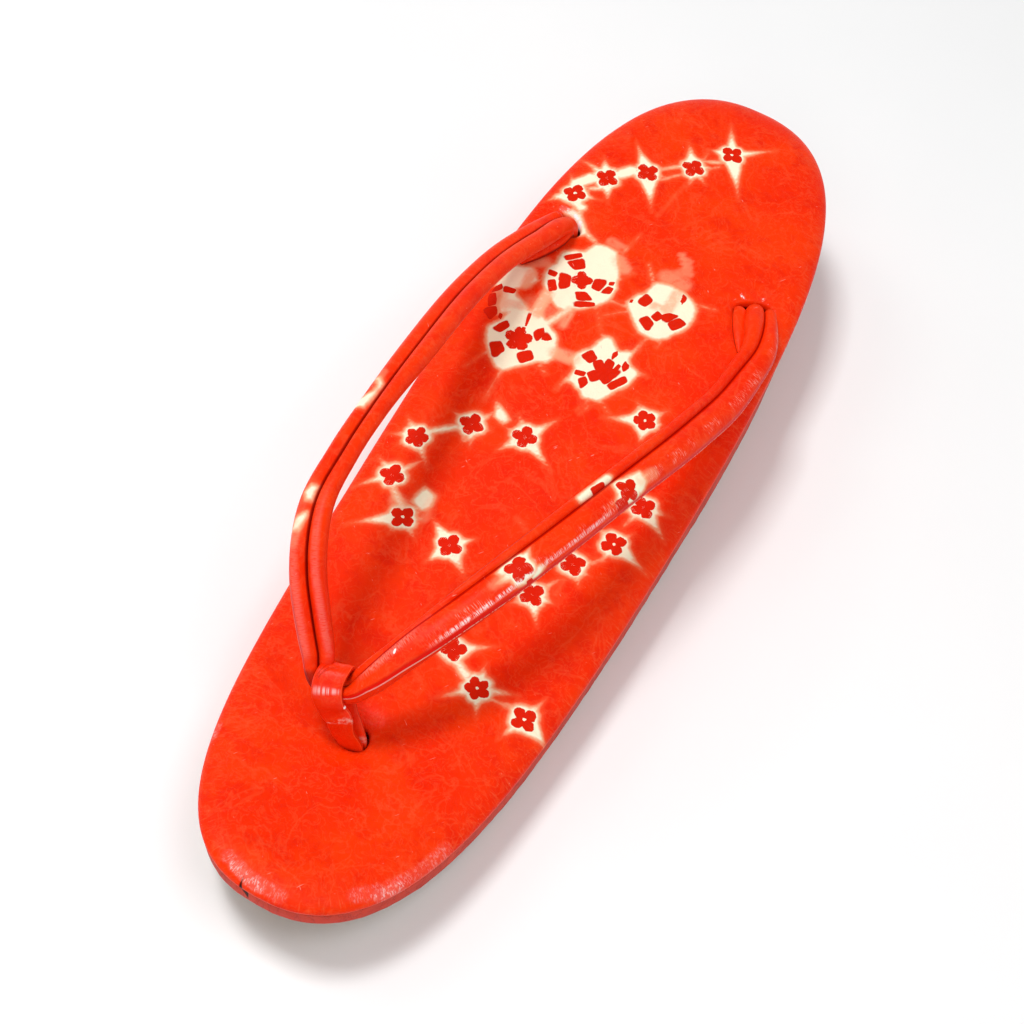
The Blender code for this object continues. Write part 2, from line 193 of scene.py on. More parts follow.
FOOTBED_FLOWERS = rows_of(
    Flower,
    (0.5, 97, 4, 70, 1, ((115, 11, 2.2), (40, 12, 1.6), (195, 6.5, 3.2), (-60, 15, 3))),
    (-5.9, 88, 4, 88, 0, ((122, 9, 3), (-75, 6.5, 2.6), (-35, 6, 2.4), (35, 5.5, 2.6))),
    (-14.8, 80.7, 4, 65, 0, ((132, 10.5, 2.8), (-60, 12.5, 3.2), (15, 5, 2.4), (215, 6, 3))),
    (-22.5, 74, 4, 85, 0, ((122, 7.5, 3), (50, 6.5, 3), (160, 10, 1.6), (-62, 8, 3))),
    (-27, 66, 4, 92, 1, ((125, 7, 2.8), (222, 8, 2.8), (10, 6.5, 2.4), (-52, 9, 2.8))),
    (-26.2, -11, 5, 90, 0, ((140, 6.5, 2.4), (195, 6, 2.6), (235, 5, 2.6), (-45, 9, 1.6))),
    (-17.5, -2.2, 4, 90, 0, ((60, 7, 2.4), (-65, 6.5, 2.4), (170, 6, 1.8), (10, 5, 2.2))),
    (-26, -22, 4, 95, 0, ((150, 6.5, 2.4), (60, 9, 1.2), (225, 9, 1.8), (10, 5, 2.2))),
    (-18.9, -30, 4, 75, 1, ((218, 12.5, 2.6), (265, 5.5, 2.6), (-35, 6.5, 2.4), (25, 5, 2))),
    (-7, -31, 4, 88, 0, ((148, 8.5, 3.2), (48, 6.5, 3.2), (-38, 9, 3.2), (248, 7.5, 3.2))),
    (-5.9, 0.8, 4, 100, 0, ((60, 9.5, 2.6), (-28, 11, 2.6), (240, 8, 2.8), (180, 5.5, 2.4),
                             (130, 6.5, 2.4))),
    (15.2, 17.7, 5, 60, 1, ((135, 6, 2.8), (55, 6.5, 2.6), (205, 10, 2.6), (-75, 7, 3.6))),
    (22.8, -13.1, 4, 45, 1, ((160, 6, 3), (-15, 10, 3.2), (-95, 6, 2.4), (60, 5.5, 2.4))),
    (24.4, -2, 4, 50, 0, ((-32, 9.5, 3), (10, 6.5, 2.4), (220, 7, 2.2), (255, 8, 1.2))),
    (17.5, -21.8, 4, 45, 0, ((-50, 6, 2.6), (35, 7, 1.6), (-10, 5, 2.4))),
    (13.3, -32.5, 4, 60, 0, ((-55, 8, 3), (235, 5.5, 3), (60, 9, 1.2), (5, 6, 2.2))),
    (5.4, -52, 4, 30, 0, ((35, 9, 2.4), (-50, 4.5, 3))),
    (13.8, -57.4, 5, 60, 1, ((100, 6.5, 2.8), (20, 9, 1.6), (-65, 7, 2.6), (225, 9, 2), (165, 6, 2.4))),
    (25, -58.6, 4, 60, 1, ((165, 6, 2.6), (75, 7, 2.6), (-18, 8.5, 3.6), (250, 7, 2.6))),
    (-14, 44.1, 4, 27, 0, (), 0.9),  # middles of the two big stone flowers
    (-19.1, 22.5, 5, 36, 0, (), 1.22),
)
FOOTBED_STONES = (
    # the flower by the left hole
    ((-13.4, 45.9), (-15.8, 44.7), (-14.6, 42.3), (-12.2, 43.5)),
    ((-20.9, 48.2), (-17.8, 51), (-16.9, 50.1), (-19.6, 47.3)),
    ((-19.4, 46.9), (-16.4, 49.9), (-14.9, 47.4), (-16.8, 45.8)),
    ((-11.6, 45.9), (-8.7, 47), (-9.1, 43.4), (-11.2, 43.2)),
    ((-8.3, 46.9), (-7.2, 47.5), (-7.1, 46.4), (-8.1, 46)),
    ((-8.1, 45.7), (-6.6, 45.8), (-6.6, 44.1), (-8.7, 43.2)),
    ((-13.9, 40.5), (-11.8, 41.7), (-9.3, 40.5), (-12.5, 38.6)),
    ((-12.7, 38.3), (-8.7, 40.1), (-8.2, 39.2), (-11.8, 36.7)),
    ((-19.4, 43.5), (-16.6, 43.9), (-15.6, 41), (-17.5, 39.3)),
    ((-20.9, 40.1), (-19.5, 41.2), (-17.8, 39), (-19.15, 37.5)),
    ((-22, 43.1), (-19.8, 43.2), (-19.8, 41.8), (-21.6, 41.6)),
    # the one below it, by the left strap
    ((-21.2, 22.6), (-19.3, 24.5), (-17, 22.9), (-18.7, 20.4)),
    ((-30.6, 32.8), (-29.7, 34.2), (-28.7, 32.9), (-30.6, 31)),
    ((-28.7, 33.9), (-25.9, 34.2), (-25.9, 32.9), (-28.2, 32.2)),
    ((-30.7, 30.1), (-29.6, 31.2), (-28, 28.6), (-29.4, 27.1)),
    ((-29.9, 26), (-27.6, 27.9), (-26.5, 26.3), (-27.2, 24)),
    ((-26.2, 26.7), (-25.3, 26.5), (-25.1, 25.1), (-26, 25.6)),
    ((-25.7, 22.2), (-23.8, 25.7), (-22.4, 24.6), (-23.4, 22.1)),
    ((-24.4, 18.4), (-22.2, 20.1), (-20.3, 18.4), (-21.5, 15.3)),
    ((-20.5, 29.5), (-19.6, 30), (-19.1, 26.5), (-19.5, 26.3)),
    ((-19.9, 25.8), (-19, 26), (-18.9, 23.2), (-19.8, 23.2)),
    ((-17.1, 26), (-15.5, 28.2), (-14.5, 26.6), (-15.2, 24)),
    ((-14.4, 27.6), (-12.4, 26.2), (-13.1, 25.3), (-14.5, 24.9)),
    ((-17.7, 18.9), (-15.3, 21.4), (-13.6, 19.5), (-15.7, 17)),
    # the smeared one
    ((-0.3, 45.2), (0.6, 48.4), (2.8, 47.3), (2, 44.8)),
    ((2.1, 40.9), (3.5, 43), (5.7, 41.8), (5.3, 39)),
    ((4.2, 43.1), (4.9, 45.3), (6.9, 44.5), (5.9, 42.4)),
    ((5.9, 44.4), (7.3, 46.1), (9.7, 46.6), (8, 43.2)),
    ((8.3, 43.5), (10, 46.1), (12.3, 45.3), (10.3, 42)),
    ((7.8, 52.3), (9.5, 51.9), (8.8, 49.6), (8.2, 50.3)),
    ((-1.9, 45), (-1.3, 45.3), (-1.2, 44.3), (-1.8, 44.1)),
    # the one in the middle
    ((-4.9, 25.8), (-3.3, 28.4), (-1.2, 26.9), (-2.2, 24.8)),
    ((1.1, 30), (1.8, 31), (2.4, 30), (1.7, 28.1)),
    ((4.4, 29.3), (6.1, 28.3), (5.3, 26.5), (4.4, 27.4)),
    ((3.6, 21.8), (6.1, 25.8), (7.4, 24.6), (5.2, 20.9)),
    ((-4.1, 21.9), (-1.8, 22.4), (-1.8, 21.1), (-3.9, 20.6)),
    ((-2.7, 20), (-1.4, 21.4), (-0.1, 20.1), (-0.9, 17.9)),
    ((-1.9, 25.7), (-0.3, 27.1), (1.9, 25.6), (0.4, 23.4)),
    ((0.7, 28), (2.7, 27.9), (3, 24.4), (0.9, 24.4)),
    ((3, 25.9), (3.5, 28), (4.3, 27.7), (4.1, 25.4)),
    ((1.6, 25.9), (5.1, 26.3), (3.2, 21.4), (1.5, 22.2)),
    ((-1.7, 22.4), (-0.4, 24), (2, 23), (0.2, 20.5)),
    ((-0.6, 25.4), (3, 26), (3.4, 22.6), (0.4, 22)),
)
FOOTBED_STROKES = rows_of(
    Stroke,
    ((-9, 86.8), (-12.3, 83.4), 0.5, 0.3, 0.8), ((-7.2, 85), (-11, 80.6), 0.4, 0.25, 0.7),
    ((-4, 91.6), (-1, 93.2), 0.35, 0.45, 0.8), ((-2.6, 89.6), (-0.4, 92), 0.3, 0.4, 0.5),
    ((-5, 92.2), (-5, 94.8), 0.5, 0.2, 0.5), ((-18.2, 79.4), (-20, 77), 1.4, 1.5, 1),
    ((-25.8, 72), (-28, 69), 1.6, 1.6, 1), ((-22.5, 70.5), (-24.5, 69), 0.6, 0.5, 0.9),
    ((-24.5, 63), (-21.5, 58.5), 0.9, 1, 0.6), ((-30.5, 63.5), (-23.5, 63), 0.7, 1.2, 0.9),
    ((-24.5, -8.5), (-20, -4.5), 0.9, 0.9, 0.85), ((-17.3, -6), (-16.9, -6.6), 0.5, 0.4, 0.8),
    ((-24, -25), (-20, -28), 1.5, 1.5, 0.6), ((-14.8, -24), (-14.5, -29.5), 0.5, 0.3, 0.35),
    ((21, -19), (22.5, -17.5), 0.4, 0.4, 0.6), ((17.5, -26), (17.5, -30), 0.3, 0.3, 0.3),
    ((7, -54), (10.5, -56), 1.1, 1.2, 0.9), ((17, -58), (21.5, -58.2), 0.4, 0.4, 0.6),
    ((-5, 85), (-7, 70), 0.5, 0.2, 0.2), ((2, -18), (5, -19.5), 0.3, 0.2, 0.3),
    ((-13, 35.5), (-15.5, 29.5), 1.3, 1.2, 0.75), ((-19.3, 37), (-19, 30.5), 1.5, 1.5, 0.75),
    ((-12, 36.5), (-11.5, 31), 0.9, 0.7, 0.3), ((-8, 39.5), (-3.5, 33), 0.8, 0.9, 0.3),
    ((-6, 42.5), (-2, 42.5), 0.9, 0.9, 0.4), ((-6.5, 48), (-4.5, 52), 0.6, 0.3, 0.25),
    ((5, 31.5), (5.6, 36.5), 0.9, 0.5, 0.45), ((1.5, 15.5), (1.2, 12.5), 0.9, 0.3, 0.3),
    ((-5, 19), (-5.6, 15), 0.5, 0.3, 0.5), ((8, 28), (10.5, 28.2), 0.8, 0.2, 0.55),
    ((8.5, 14.5), (12, 16.3), 0.4, 0.7, 0.5), ((8.5, 14.5), (5, 17), 0.3, 0.5, 0.4),
    ((1.8, 12), (3, 15.5), 0.3, 0.3, 0.35), ((12.5, 51.5), (16.5, 52.5), 0.7, 0.2, 0.35),
    ((6, 38), (5.6, 33), 0.7, 0.5, 0.35), ((9.5, 39), (9, 36), 0.7, 0.2, 0.4),
    ((0.6, 52), (-2.5, 56), 1, 0.4, 0.45), ((-1, 42), (-5, 38), 0.7, 0.4, 0.3),
    ((-9.5, 55), (-8, 63), 1.2, 0.3, 0.3), ((-18.5, 14), (-18, 4.5), 1, 0.3, 0.4),
    ((-9.5, 17.5), (-12.5, 19), 0.6, 0.9, 0.35), ((-26, 10), (-24, 15.5), 0.3, 0.6, 0.25),
)
FOOTBED_PATCHES = (  # undyed leather
    ((-20.5, 50), (-19, 51.2), (-17.3, 51.8), (-16.5, 54), (-16, 55.3), (-13.5, 55.8), (-10.5, 55.4),
     (-9, 52.5), (-7.6, 51), (-6.8, 49), (-6.6, 47.7), (-5.9, 46), (-6, 43.5), (-6.5, 41.2), (-8, 39.3),
     (-10, 37.3), (-12, 36), (-13, 35), (-15, 34.3), (-16.5, 34.8), (-18.5, 36.5), (-20, 37.3),
     (-21.5, 39), (-22.5, 41.5), (-22.5, 43.5), (-21.5, 45.5), (-21.7, 47.5), (-21.6, 49)),
    ((-20.5, 30.8), (-19, 31.3), (-17.5, 31), (-15.5, 30), (-14, 29), (-12.3, 28), (-11.3, 26.5),
     (-10, 24.2), (-9.8, 22), (-10.9, 20.1), (-12.6, 19.2), (-13.5, 18.2), (-15, 16.7), (-16.2, 15.5),
     (-17.4, 14), (-18.5, 13.3), (-20, 13.4), (-21.5, 14.4), (-23.5, 16.2), (-25, 18), (-26, 20),
     (-26.8, 22), (-26, 24), (-25, 25.5), (-24.5, 28), (-25, 30), (-23.5, 31), (-21.8, 30.5)),
    ((0.7, 52), (0.6, 50.3), (0.1, 48.2), (-1.2, 47), (-1.8, 45.3), (-2.4, 43.8), (-0.9, 42), (0.9, 40.3),
     (2.4, 38.8), (3.8, 37.8), (5.9, 37.6), (8.2, 37.8), (10, 39.4), (10.9, 41.2), (12.1, 42.6),
     (12.8, 44.7), (13.1, 47.3), (12.6, 50), (11.5, 51.2), (10.3, 52.2), (8.5, 53), (6.8, 53.1),
     (3.8, 53.2), (1.8, 52.6)),
    ((-2.6, 33.1), (-1.1, 33.5), (0.2, 32.5), (1.7, 31.1), (2.7, 31.3), (4, 32.3), (4.9, 31.6),
     (5.1, 30.1), (6.2, 28.9), (8.6, 28.2), (8.4, 26.3), (8.1, 24.2), (7.4, 22.8), (6.2, 21.3),
     (5.6, 19.8), (4.8, 18.4), (4.2, 16.9), (2.1, 16.6), (0.3, 15.9), (-0.8, 17.2), (-2, 17.6),
     (-3.2, 18.2), (-4.6, 18), (-4.7, 20.1), (-4.6, 21.9), (-5.5, 23.1), (-6.4, 24.2), (-5.8, 26),
     (-4.7, 27.7), (-3.6, 28.9), (-3.3, 30.7)),
    ((-30.6, 36), (-29.8, 40.2), (-27.5, 40.8), (-25.5, 41.8), (-24, 40.2), (-22.6, 38.8),
     (-24.5, 36.2), (-26, 34.2), (-25, 32.8), (-22.5, 32), (-21, 31), (-21.5, 29.5), (-24.5, 27.5),
     (-26, 26.5), (-27.5, 28.5), (-28, 31), (-29.5, 33), (-31, 33)),
    ((-26.5, 60), (-25.4, 61.6), (-22.9, 61.3), (-20.6, 58.9), (-19, 57.3), (-16.6, 56.2),
     (-15.4, 55), (-17.2, 55.6), (-19.3, 56.5), (-21.6, 55), (-22.5, 57.5), (-24, 59.4)),
    ((-15.4, 5.6), (-13.4, 4.8), (-10.6, 3), (-11.6, 1.2), (-14.2, 2.2)),
    ((-19.2, -23.6), (-18.5, -21.2), (-15.4, -21.8), (-15, -25), (-16.4, -26.8), (-19.2, -25.7)),
)
FOOTBED_HAZES = rows_of(  # smeared or half dyed leather
    Haze,
    (((-28.5, 31.5), (-26.5, 27.5)), 1.8, 0.7), (((-25, 40), (-24.6, 36.5)), 1.4, 0.9),
    (((-26, 43), (-23.5, 44.5)), 1.6, 0.6), (((-25.5, 30), (-22.5, 31)), 1.2, 0.6),
    (((-21, 33), (-17.5, 33.5), (-14.5, 32)), 2.2, 0.3), (((-19.2, 36.5), (-18.6, 31)), 1.7, 0.9),
    (((-12.6, 35.5), (-12.2, 31)), 1.2, 0.6), (((-10, 23.5), (-6, 24)), 1.8, 0.8),
    (((-9, 53.5), (-7, 52)), 1.8, 0.6), (((-10, 57), (-13, 57.5)), 1.4, 0.45),
    (((2.6, 55), (6.9, 55)), 2.1, 0.5), (((4.6, 57), (6, 58.5)), 1.5, 0.42),
    (((3, 62.5), (5.2, 59.8)), 0.9, 0.5), (((5.2, 62), (7.4, 58)), 0.7, 0.4),
    (((6.8, 46.6), (6.8, 51.8)), 1.5, 0.75), (((3.4, 46.2), (6, 46.4)), 1.1, 0.75),
    (((-22, -27), (-20.5, -27.5)), 1.8, 0.5), (((-16, -22.5), (-15, -28)), 1.2, 0.3),
)
FOOTBED_PAINTED_HIGHLIGHTS = rows_of(  # painted highlights on the toe's round edge and at the rear holes; at the left hole they also paint its pale torn edge
    Haze,
    (((18.6, -105.9), (21.4, -101.9)), 1.1, 0.6),
    (((15.4, -108.3), (19.5, -104.2), (23.2, -97.5), (24.8, -91)), 1.4, 0.22),
    (((-6.2, -114.9), (-3, -115.8), (0.2, -116.1)), 1, 0.6),
    (((-8, -113.8), (-3, -115.4), (4, -115.7)), 1.3, 0.22),
    (((-25.2, -90.5), (-24.6, -93.5)), 0.6, 0.35), (((20.1, 59.1), (20.4, 59.2)), 0.36, 1.6),
    (((24.6, 61), (24.8, 60.9)), 0.28, 1.6),
    (((-27.6, 60.6), (-25, 60.6), (-23.3, 60), (-22.2, 59.2)), 0.7, 0.8),
    (((-24, 60.4), (-23.1, 59.9)), 0.6, 1.5), (((-22.2, 59.3), (-21.7, 58.5)), 0.5, 1.5),
)
FOOTBED_CHART = Chart(
    FOOTBED_FLOWERS, FOOTBED_STONES, FOOTBED_STROKES, FOOTBED_PATCHES, FOOTBED_HAZES
)
STRAP_CHART = Chart(
    (
        Flower(205, -3.3, 4, 50, 0, ((180, 7, 2.8), (-95, 4.5, 2.8), (25, 6.5, 2.8))),
        Flower(235.8, -4, 4, 20, 0, ((0, 8.5, 3.2), (60, 4, 3), (185, 6.5, 2.8), (110, 5, 2.8))),
    ),
    (
        ((229.2, 1.9), (232.8, 1.5), (232.8, 0), (229.2, 0.2)),
        ((231, -4.4), (234, -4.6), (234.2, -7.2), (231.2, -7.2)),
        ((204.7, -6.3), (206.1, -6.3), (206.1, -7.5), (204.7, -7.5)),
    ),
    (
        Stroke((226, 1.4), (234.2, 1.2), 1.1, 1.3, 1),
    ),
    (
        ((93.2, -1.1), (97, -1.1), (101.2, -1.5), (101.6, -4.2), (98.9, -5.6), (98, -3.2),
         (96.2, -2.2), (94.2, -2), (93, -2.8), (92.2, -4.2), (91.8, -2.8)),
        ((121.8, -0.9), (125, -0.9), (125.2, -2.4), (123.6, -3.2), (122, -2.4)),
        ((201, -1.2), (203.4, -0.2), (203.8, -1.8), (202.8, -3.2), (201.4, -2.6)),
        ((202.6, -4.6), (204.2, -5.6), (206, -6.1), (208.5, -5), (209.6, -6), (207.5, -7.4),
         (204, -6.8), (202.6, -5.6)),
        ((127.3, -1.4), (128.6, -1.3), (130.9, -2.4), (131, -4.2), (128.8, -3.6)),
        ((238.2, -1.6), (241.4, -2.4), (241.2, -5.2), (238.6, -6.6), (237.2, -5.4)),
    ),
    (
        Haze(((240, -4), (244, -4.5)), 1.4, 0.4),
        Haze(((199, -3), (202, -3)), 1.2, 0.3),
        Haze(((90, -3), (93, -3)), 1.2, 0.3),
        Haze(((130, -3), (133, -3.4)), 1.2, 0.25),
    ),
)
PETAL_REACH = 1.6  # from a flower's middle to a petal's
PETAL_HALF = (1.4, 0.24)  # a petal's radius: share of its sine, and what is added
PETAL_NOISES = ((1.3, 2.0), (1.4, 2.0))
PETAL_SWAY = 0.9  # how unevenly petals are drawn
FLOWER_MIDDLE = 1.65  # radius of the red that joins the petals
PETAL_MOST, DOT_SINK = 0.5, 3.0  # depth of a petal's red, and how much a dot takes off it
DOT_HALF = (0.42, 0.2)  # where an undyed dot in the middle starts and is full
STONE_HALF, STONE_SQUARE = 1.12, 4.5  # half size over the chart's, and how square its corners are
STONE_SWAY = 0.3  # over a petal's
RING_HALF = 3.25  # undyed ring round a flower, with a wave for its petals
RING_WAVE = 0.25
RAY_TAPER = 1.8
RAY_CUT = 0.6  # how much thinner a ray is at its tip than its taper makes it
STROKE_FADE = 0.7  # how far a stroke with no level sinks, on top of its own half width
HAZE_FADE = (0.55, 1.25)  # shares of a haze's reach where it starts to fade and where it ends
PETAL_NEAR = 1.7  # how far a flower's own places reach, over a petal's distance
STONE_NEAR = 2.0  # how far round a stone its own places are worked out
UNDYED_LIMITS = (-4, 2)
FAR = -9.0  # signed distance that stands for nowhere near
NOWHERE = 99.0


# ---- forms ----
def half_width(y):
    """Half the outline's width at y."""
    c = np.clip(2 * np.asarray(y, float) / LENGTH, -1.0, 1.0)
    shape = sum(k * c**power for power, k in enumerate(OUTLINE_SHAPE))
    return WIDTH / 2 * (1 - c * c) ** (OUTLINE_ROUNDNESS / 2) * shape


def footbed(y):
    """Height of the footbed along its middle line."""
    v = np.clip(np.asarray(y, float) / LENGTH + 0.5, 0.0, 1.0)
    weights = ((1 - v) ** 3, 3 * v * (1 - v) ** 2, 3 * v * v * (1 - v), v**3)
    return sum(w * height for w, height in zip(weights, FOOTBED_CURVE))


def underside(y):
    """Height of the outsole's underside: toe spring, forefoot flat, arch and heel flat."""
    y = np.asarray(y, float)
    start, end = FOREFOOT_FLAT
    spring = TOE_LIFT * (np.clip(start - y, 0, None) / (start + LENGTH / 2)) ** 2
    along = np.clip((y - end) / (HEEL_FLAT_START - end), 0, 1)
    return spring + ARCH_RISE * np.sin(math.pi * along) ** 2


def ease(value, low, high):
    """0 below `low`, 1 above `high` and a soft step between."""
    t = np.clip((np.asarray(value, float) - low) / (high - low), 0, 1)
    return t * t * (3 - 2 * t)


def wobble(points, size, seed):
    """Soft noise from -1 to 1 at each point, with lumps about `size` across."""
    shift = Vector((seed, seed * 1.7, seed * 2.3))
    return np.array([noise.noise(Vector(p) / size + shift) for p in points])


def run_along(points):
    """Length along the points, from 0 at the first."""
    return np.concatenate([[0.0], np.cumsum(np.linalg.norm(np.diff(points, axis=0), axis=1))])


class Shell:
    """Points and faces of a piece while it is put together."""

    def __init__(self):
        self.points, self.faces = [], []

    def add(self, points):
        """Adds points and gives their numbers."""
        first = len(self.points)
        self.points += [tuple(map(float, p)) for p in points]
        return list(range(first, len(self.points)))

    def strip(self, first, second):
        """Quads between two closed loops with the same number of points."""
        for k in range(len(first)):
            j = (k + 1) % len(first)
            self.faces.append((first[k], first[j], second[j], second[k]))

    def band(self, sections):
        """Adds closed loops of points and the quads between neighbours. Gives the loops."""
        loops = [self.add(section) for section in sections]
        for first, second in zip(loops, loops[1:]):
            self.strip(first, second)
        return loops

    def tube(self, sections):
        """A closed body through equal loops of points."""
        loops = self.band(sections)
        self.fan(loops[0])
        self.fan(loops[-1])

    def fan(self, loop):
        """Closes a loop with triangles to its middle."""
        middle = self.add([np.mean([self.points[k] for k in loop], axis=0)])[0]
        for k, number in enumerate(loop):
            self.faces.append((number, loop[(k + 1) % len(loop)], middle))

    def join(self, outer, inner, turn_of):
        """Triangles between two closed loops, both in the same turning order round a centre."""
        a_turns = np.unwrap([turn_of(self.points[k]) for k in outer])
        b_turns = np.array([turn_of(self.points[k]) for k in inner])
        start = int(np.argmin(np.abs(np.angle(np.exp(1j * (b_turns - a_turns[0]))))))
        inner = inner[start:] + inner[:start]
        b_turns = np.unwrap([turn_of(self.points[k]) for k in inner])
        b_turns += 2 * math.pi * round((a_turns[0] - b_turns[0]) / (2 * math.pi))
        a_ends = np.append(a_turns, a_turns[0] + 2 * math.pi)
        b_ends = np.append(b_turns, b_turns[0] + 2 * math.pi)
        a, b = 0, 0
        while a < len(outer) or b < len(inner):
            here = (outer[a % len(outer)], inner[b % len(inner)])
            if b == len(inner) or (a < len(outer) and a_ends[a + 1] <= b_ends[b + 1]):
                a += 1
                self.faces.append((here[0], outer[a % len(outer)], here[1]))
            else:
                b += 1
                self.faces.append((here[0], inner[b % len(inner)], here[1]))

    def piece(self, name, node, slot, material, sharp=50.0):
        """Makes the object, with edges above `sharp` degrees kept. It stands for the CAD node."""
        used = np.unique([k for face in self.faces for k in face])
        number = {old: new for new, old in enumerate(used)}
        mesh = bpy.data.meshes.new(name)
        points = [Vector(self.points[k]) * MM for k in used]
        mesh.from_pydata(points, [], [[number[k] for k in face] for face in self.faces])
        mesh.materials.append(material)
        work = bmesh.new()
        work.from_mesh(mesh)
        bmesh.ops.recalc_face_normals(work, faces=work.faces)
        work.to_mesh(mesh)
        work.free()
        mesh.shade_smooth()
        mesh.set_sharp_from_angle(angle=math.radians(sharp))
        made = bpy.data.objects.new(name, mesh)
        bpy.context.scene.collection.objects.link(made)
        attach(made, "root")
        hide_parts(node)
        return made


def places(piece):
    """The piece's vertices as an array in millimetres."""
    flat = np.zeros(len(piece.data.vertices) * 3)
    piece.data.vertices.foreach_get("co", flat)
    return flat.reshape(-1, 3) / MM


def put_values(piece, **fields):
    """Stores each field's number for each vertex, for the material to read."""
    for name, values in fields.items():
        stored = piece.data.attributes.new(name, "FLOAT", "POINT")
        stored.data.foreach_set("value", np.asarray(values, np.float32))


# ---- flat fields of a chart ----
def turned_to(points, x, y, degrees):
    """(forward, aside) of the points seen from (x, y) along that direction."""
    a = math.radians(degrees)
    dx, dy = points[:, 0] - x, points[:, 1] - y
    return dx * math.cos(a) + dy * math.sin(a), dy * math.cos(a) - dx * math.sin(a)


def off_segment(points, start, end):
    """(distance to the segment, share along it) of each point."""
    start, end = np.array(start, float), np.array(end, float)
    run = end - start
    share = np.clip((points - start) @ run / max(run @ run, 1e-9), 0, 1)
    return np.linalg.norm(points - start - share[:, None] * run, axis=1), share


def off_patch(points, corners):
    """Signed distance to a closed outline, positive inside."""
    away = np.full(len(points), NOWHERE)
    inside = np.zeros(len(points), bool)
    for (ax, ay), (bx, by) in zip(corners, corners[1:] + corners[:1]):
        away = np.minimum(away, off_segment(points, (ax, ay), (bx, by))[0])
        if ay != by:
            crossing = ax + (points[:, 1] - ay) * (bx - ax) / (by - ay)
            between = (points[:, 1] < max(ay, by)) & (points[:, 1] >= min(ay, by))
            inside ^= between & (points[:, 0] < crossing)
    return np.where(inside, away, -away)


def undyed(points, chart):
    """How far inside the undyed leather each point lies, in millimetres, negative outside."""
    most = np.full(len(points), FAR)
    for flower in chart.flowers:
        forward, aside = turned_to(points, flower.x, flower.y, flower.turn)
        wave = RING_WAVE * np.cos(flower.petals * np.arctan2(aside, forward))
        most = np.maximum(most, RING_HALF + wave - np.hypot(forward, aside))
        for turn, length, half in flower.rays:
            forward, aside = turned_to(points, flower.x, flower.y, turn)
            share = np.clip(forward / length, 0, 1)
            ray = half * (1 - share) ** RAY_TAPER - np.abs(aside) - RAY_CUT * share**2
            beyond = np.clip(forward - length, 0, None)
            most = np.maximum(most, np.where(forward > 0, ray - beyond, FAR))
    for stroke in chart.strokes:
        away, share = off_segment(points, stroke.start, stroke.end)
        half = stroke.start_half + (stroke.end_half - stroke.start_half) * share
        most = np.maximum(most, half - away - (1 - stroke.level) * (STROKE_FADE + half))
    for patch in chart.patches:
        most = np.maximum(most, off_patch(points, patch))
    return np.clip(most, *UNDYED_LIMITS)


def smeared(points, hazes):
    """Strength of the haze at each point."""
    most = np.zeros(len(points))
    for line, reach, strength in hazes:
        low, high = (reach * share for share in HAZE_FADE)
        for start, end in zip(line, line[1:]):
            away = off_segment(points, start, end)[0]
            most = np.maximum(most, strength * (1 - ease(away, low, high)))
    return most


def near_marks(middles, chart):
    """The two flowers or stones nearest to each face's middle. Stones count after the flowers."""
    away = []
    for flower in chart.flowers:
        reach = np.hypot(middles[:, 0] - flower.x, middles[:, 1] - flower.y)
        away.append(reach - PETAL_REACH * PETAL_NEAR)
    for stone in chart.stones:
        low, high = np.min(stone, axis=0) - STONE_NEAR, np.max(stone, axis=0) + STONE_NEAR
        close = np.flatnonzero(((middles > low) & (middles < high)).all(axis=1))
        away.append(np.full(len(middles), NOWHERE))
        away[-1][close] = -off_patch(middles[close], stone)
    return np.argsort(away, axis=0)[:2]


def stone_places(points, corners):
    """Places inside a four-cornered stone, from -1 to 1 both ways."""
    middle = np.mean(corners, axis=0)
    rows, ends = [], []
    for (x, y), (u, v) in zip(np.array(corners) - middle, ((-1, -1), (-1, 1), (1, 1), (1, -1))):
        rows += [[x, y, 1, 0, 0, 0, -u * x, -u * y], [0, 0, 0, x, y, 1, -v * x, -v * y]]
        ends += [u, v]
    a, b, c, d, e, f, g, h = np.linalg.solve(rows, ends)
    x, y = (points - middle).T
    below = np.clip(g * x + h * y + 1, 0.2, None)
    return (a * x + b * y + c) / below, (d * x + e * y + f) / below


def put_chart(piece, flat, chart):
    """Stores the chart's fields on the piece, whose vertices have the given flat places."""
    put_values(piece, undyed=undyed(flat, chart), smeared=smeared(flat, chart.hazes))
    mesh = piece.data
    corner_points = np.zeros(len(mesh.loops), int)
    mesh.loops.foreach_get("vertex_index", corner_points)
    starts, totals = (np.zeros(len(mesh.polygons), int) for _ in range(2))
    mesh.polygons.foreach_get("loop_start", starts)
    mesh.polygons.foreach_get("loop_total", totals)
    corners = flat[corner_points]
    middles = np.add.reduceat(corners, starts) / totals[:, None]
    for name, nearest in zip(("mark", "next_mark"), near_marks(middles, chart)):
        nearest = np.repeat(nearest, totals)
        local = np.zeros((len(corners), 3))
        for number, flower in enumerate(chart.flowers):
            chosen = nearest == number
            forward, aside = turned_to(corners[chosen], flower.x, flower.y, flower.turn)
            kind = np.full(len(forward), flower.petals + flower.dot / 2)
            local[chosen] = np.stack([forward / flower.size, aside / flower.size, kind], -1)
        for number, stone in enumerate(chart.stones):
            chosen = nearest == number + len(chart.flowers)
            forward, aside = stone_places(corners[chosen], stone)
            local[chosen, :2] = np.stack([forward, aside], -1)
        stored = mesh.attributes.new(name, "FLOAT_VECTOR", "CORNER")
        stored.data.foreach_set("vector", np.ravel(local).astype(np.float32))


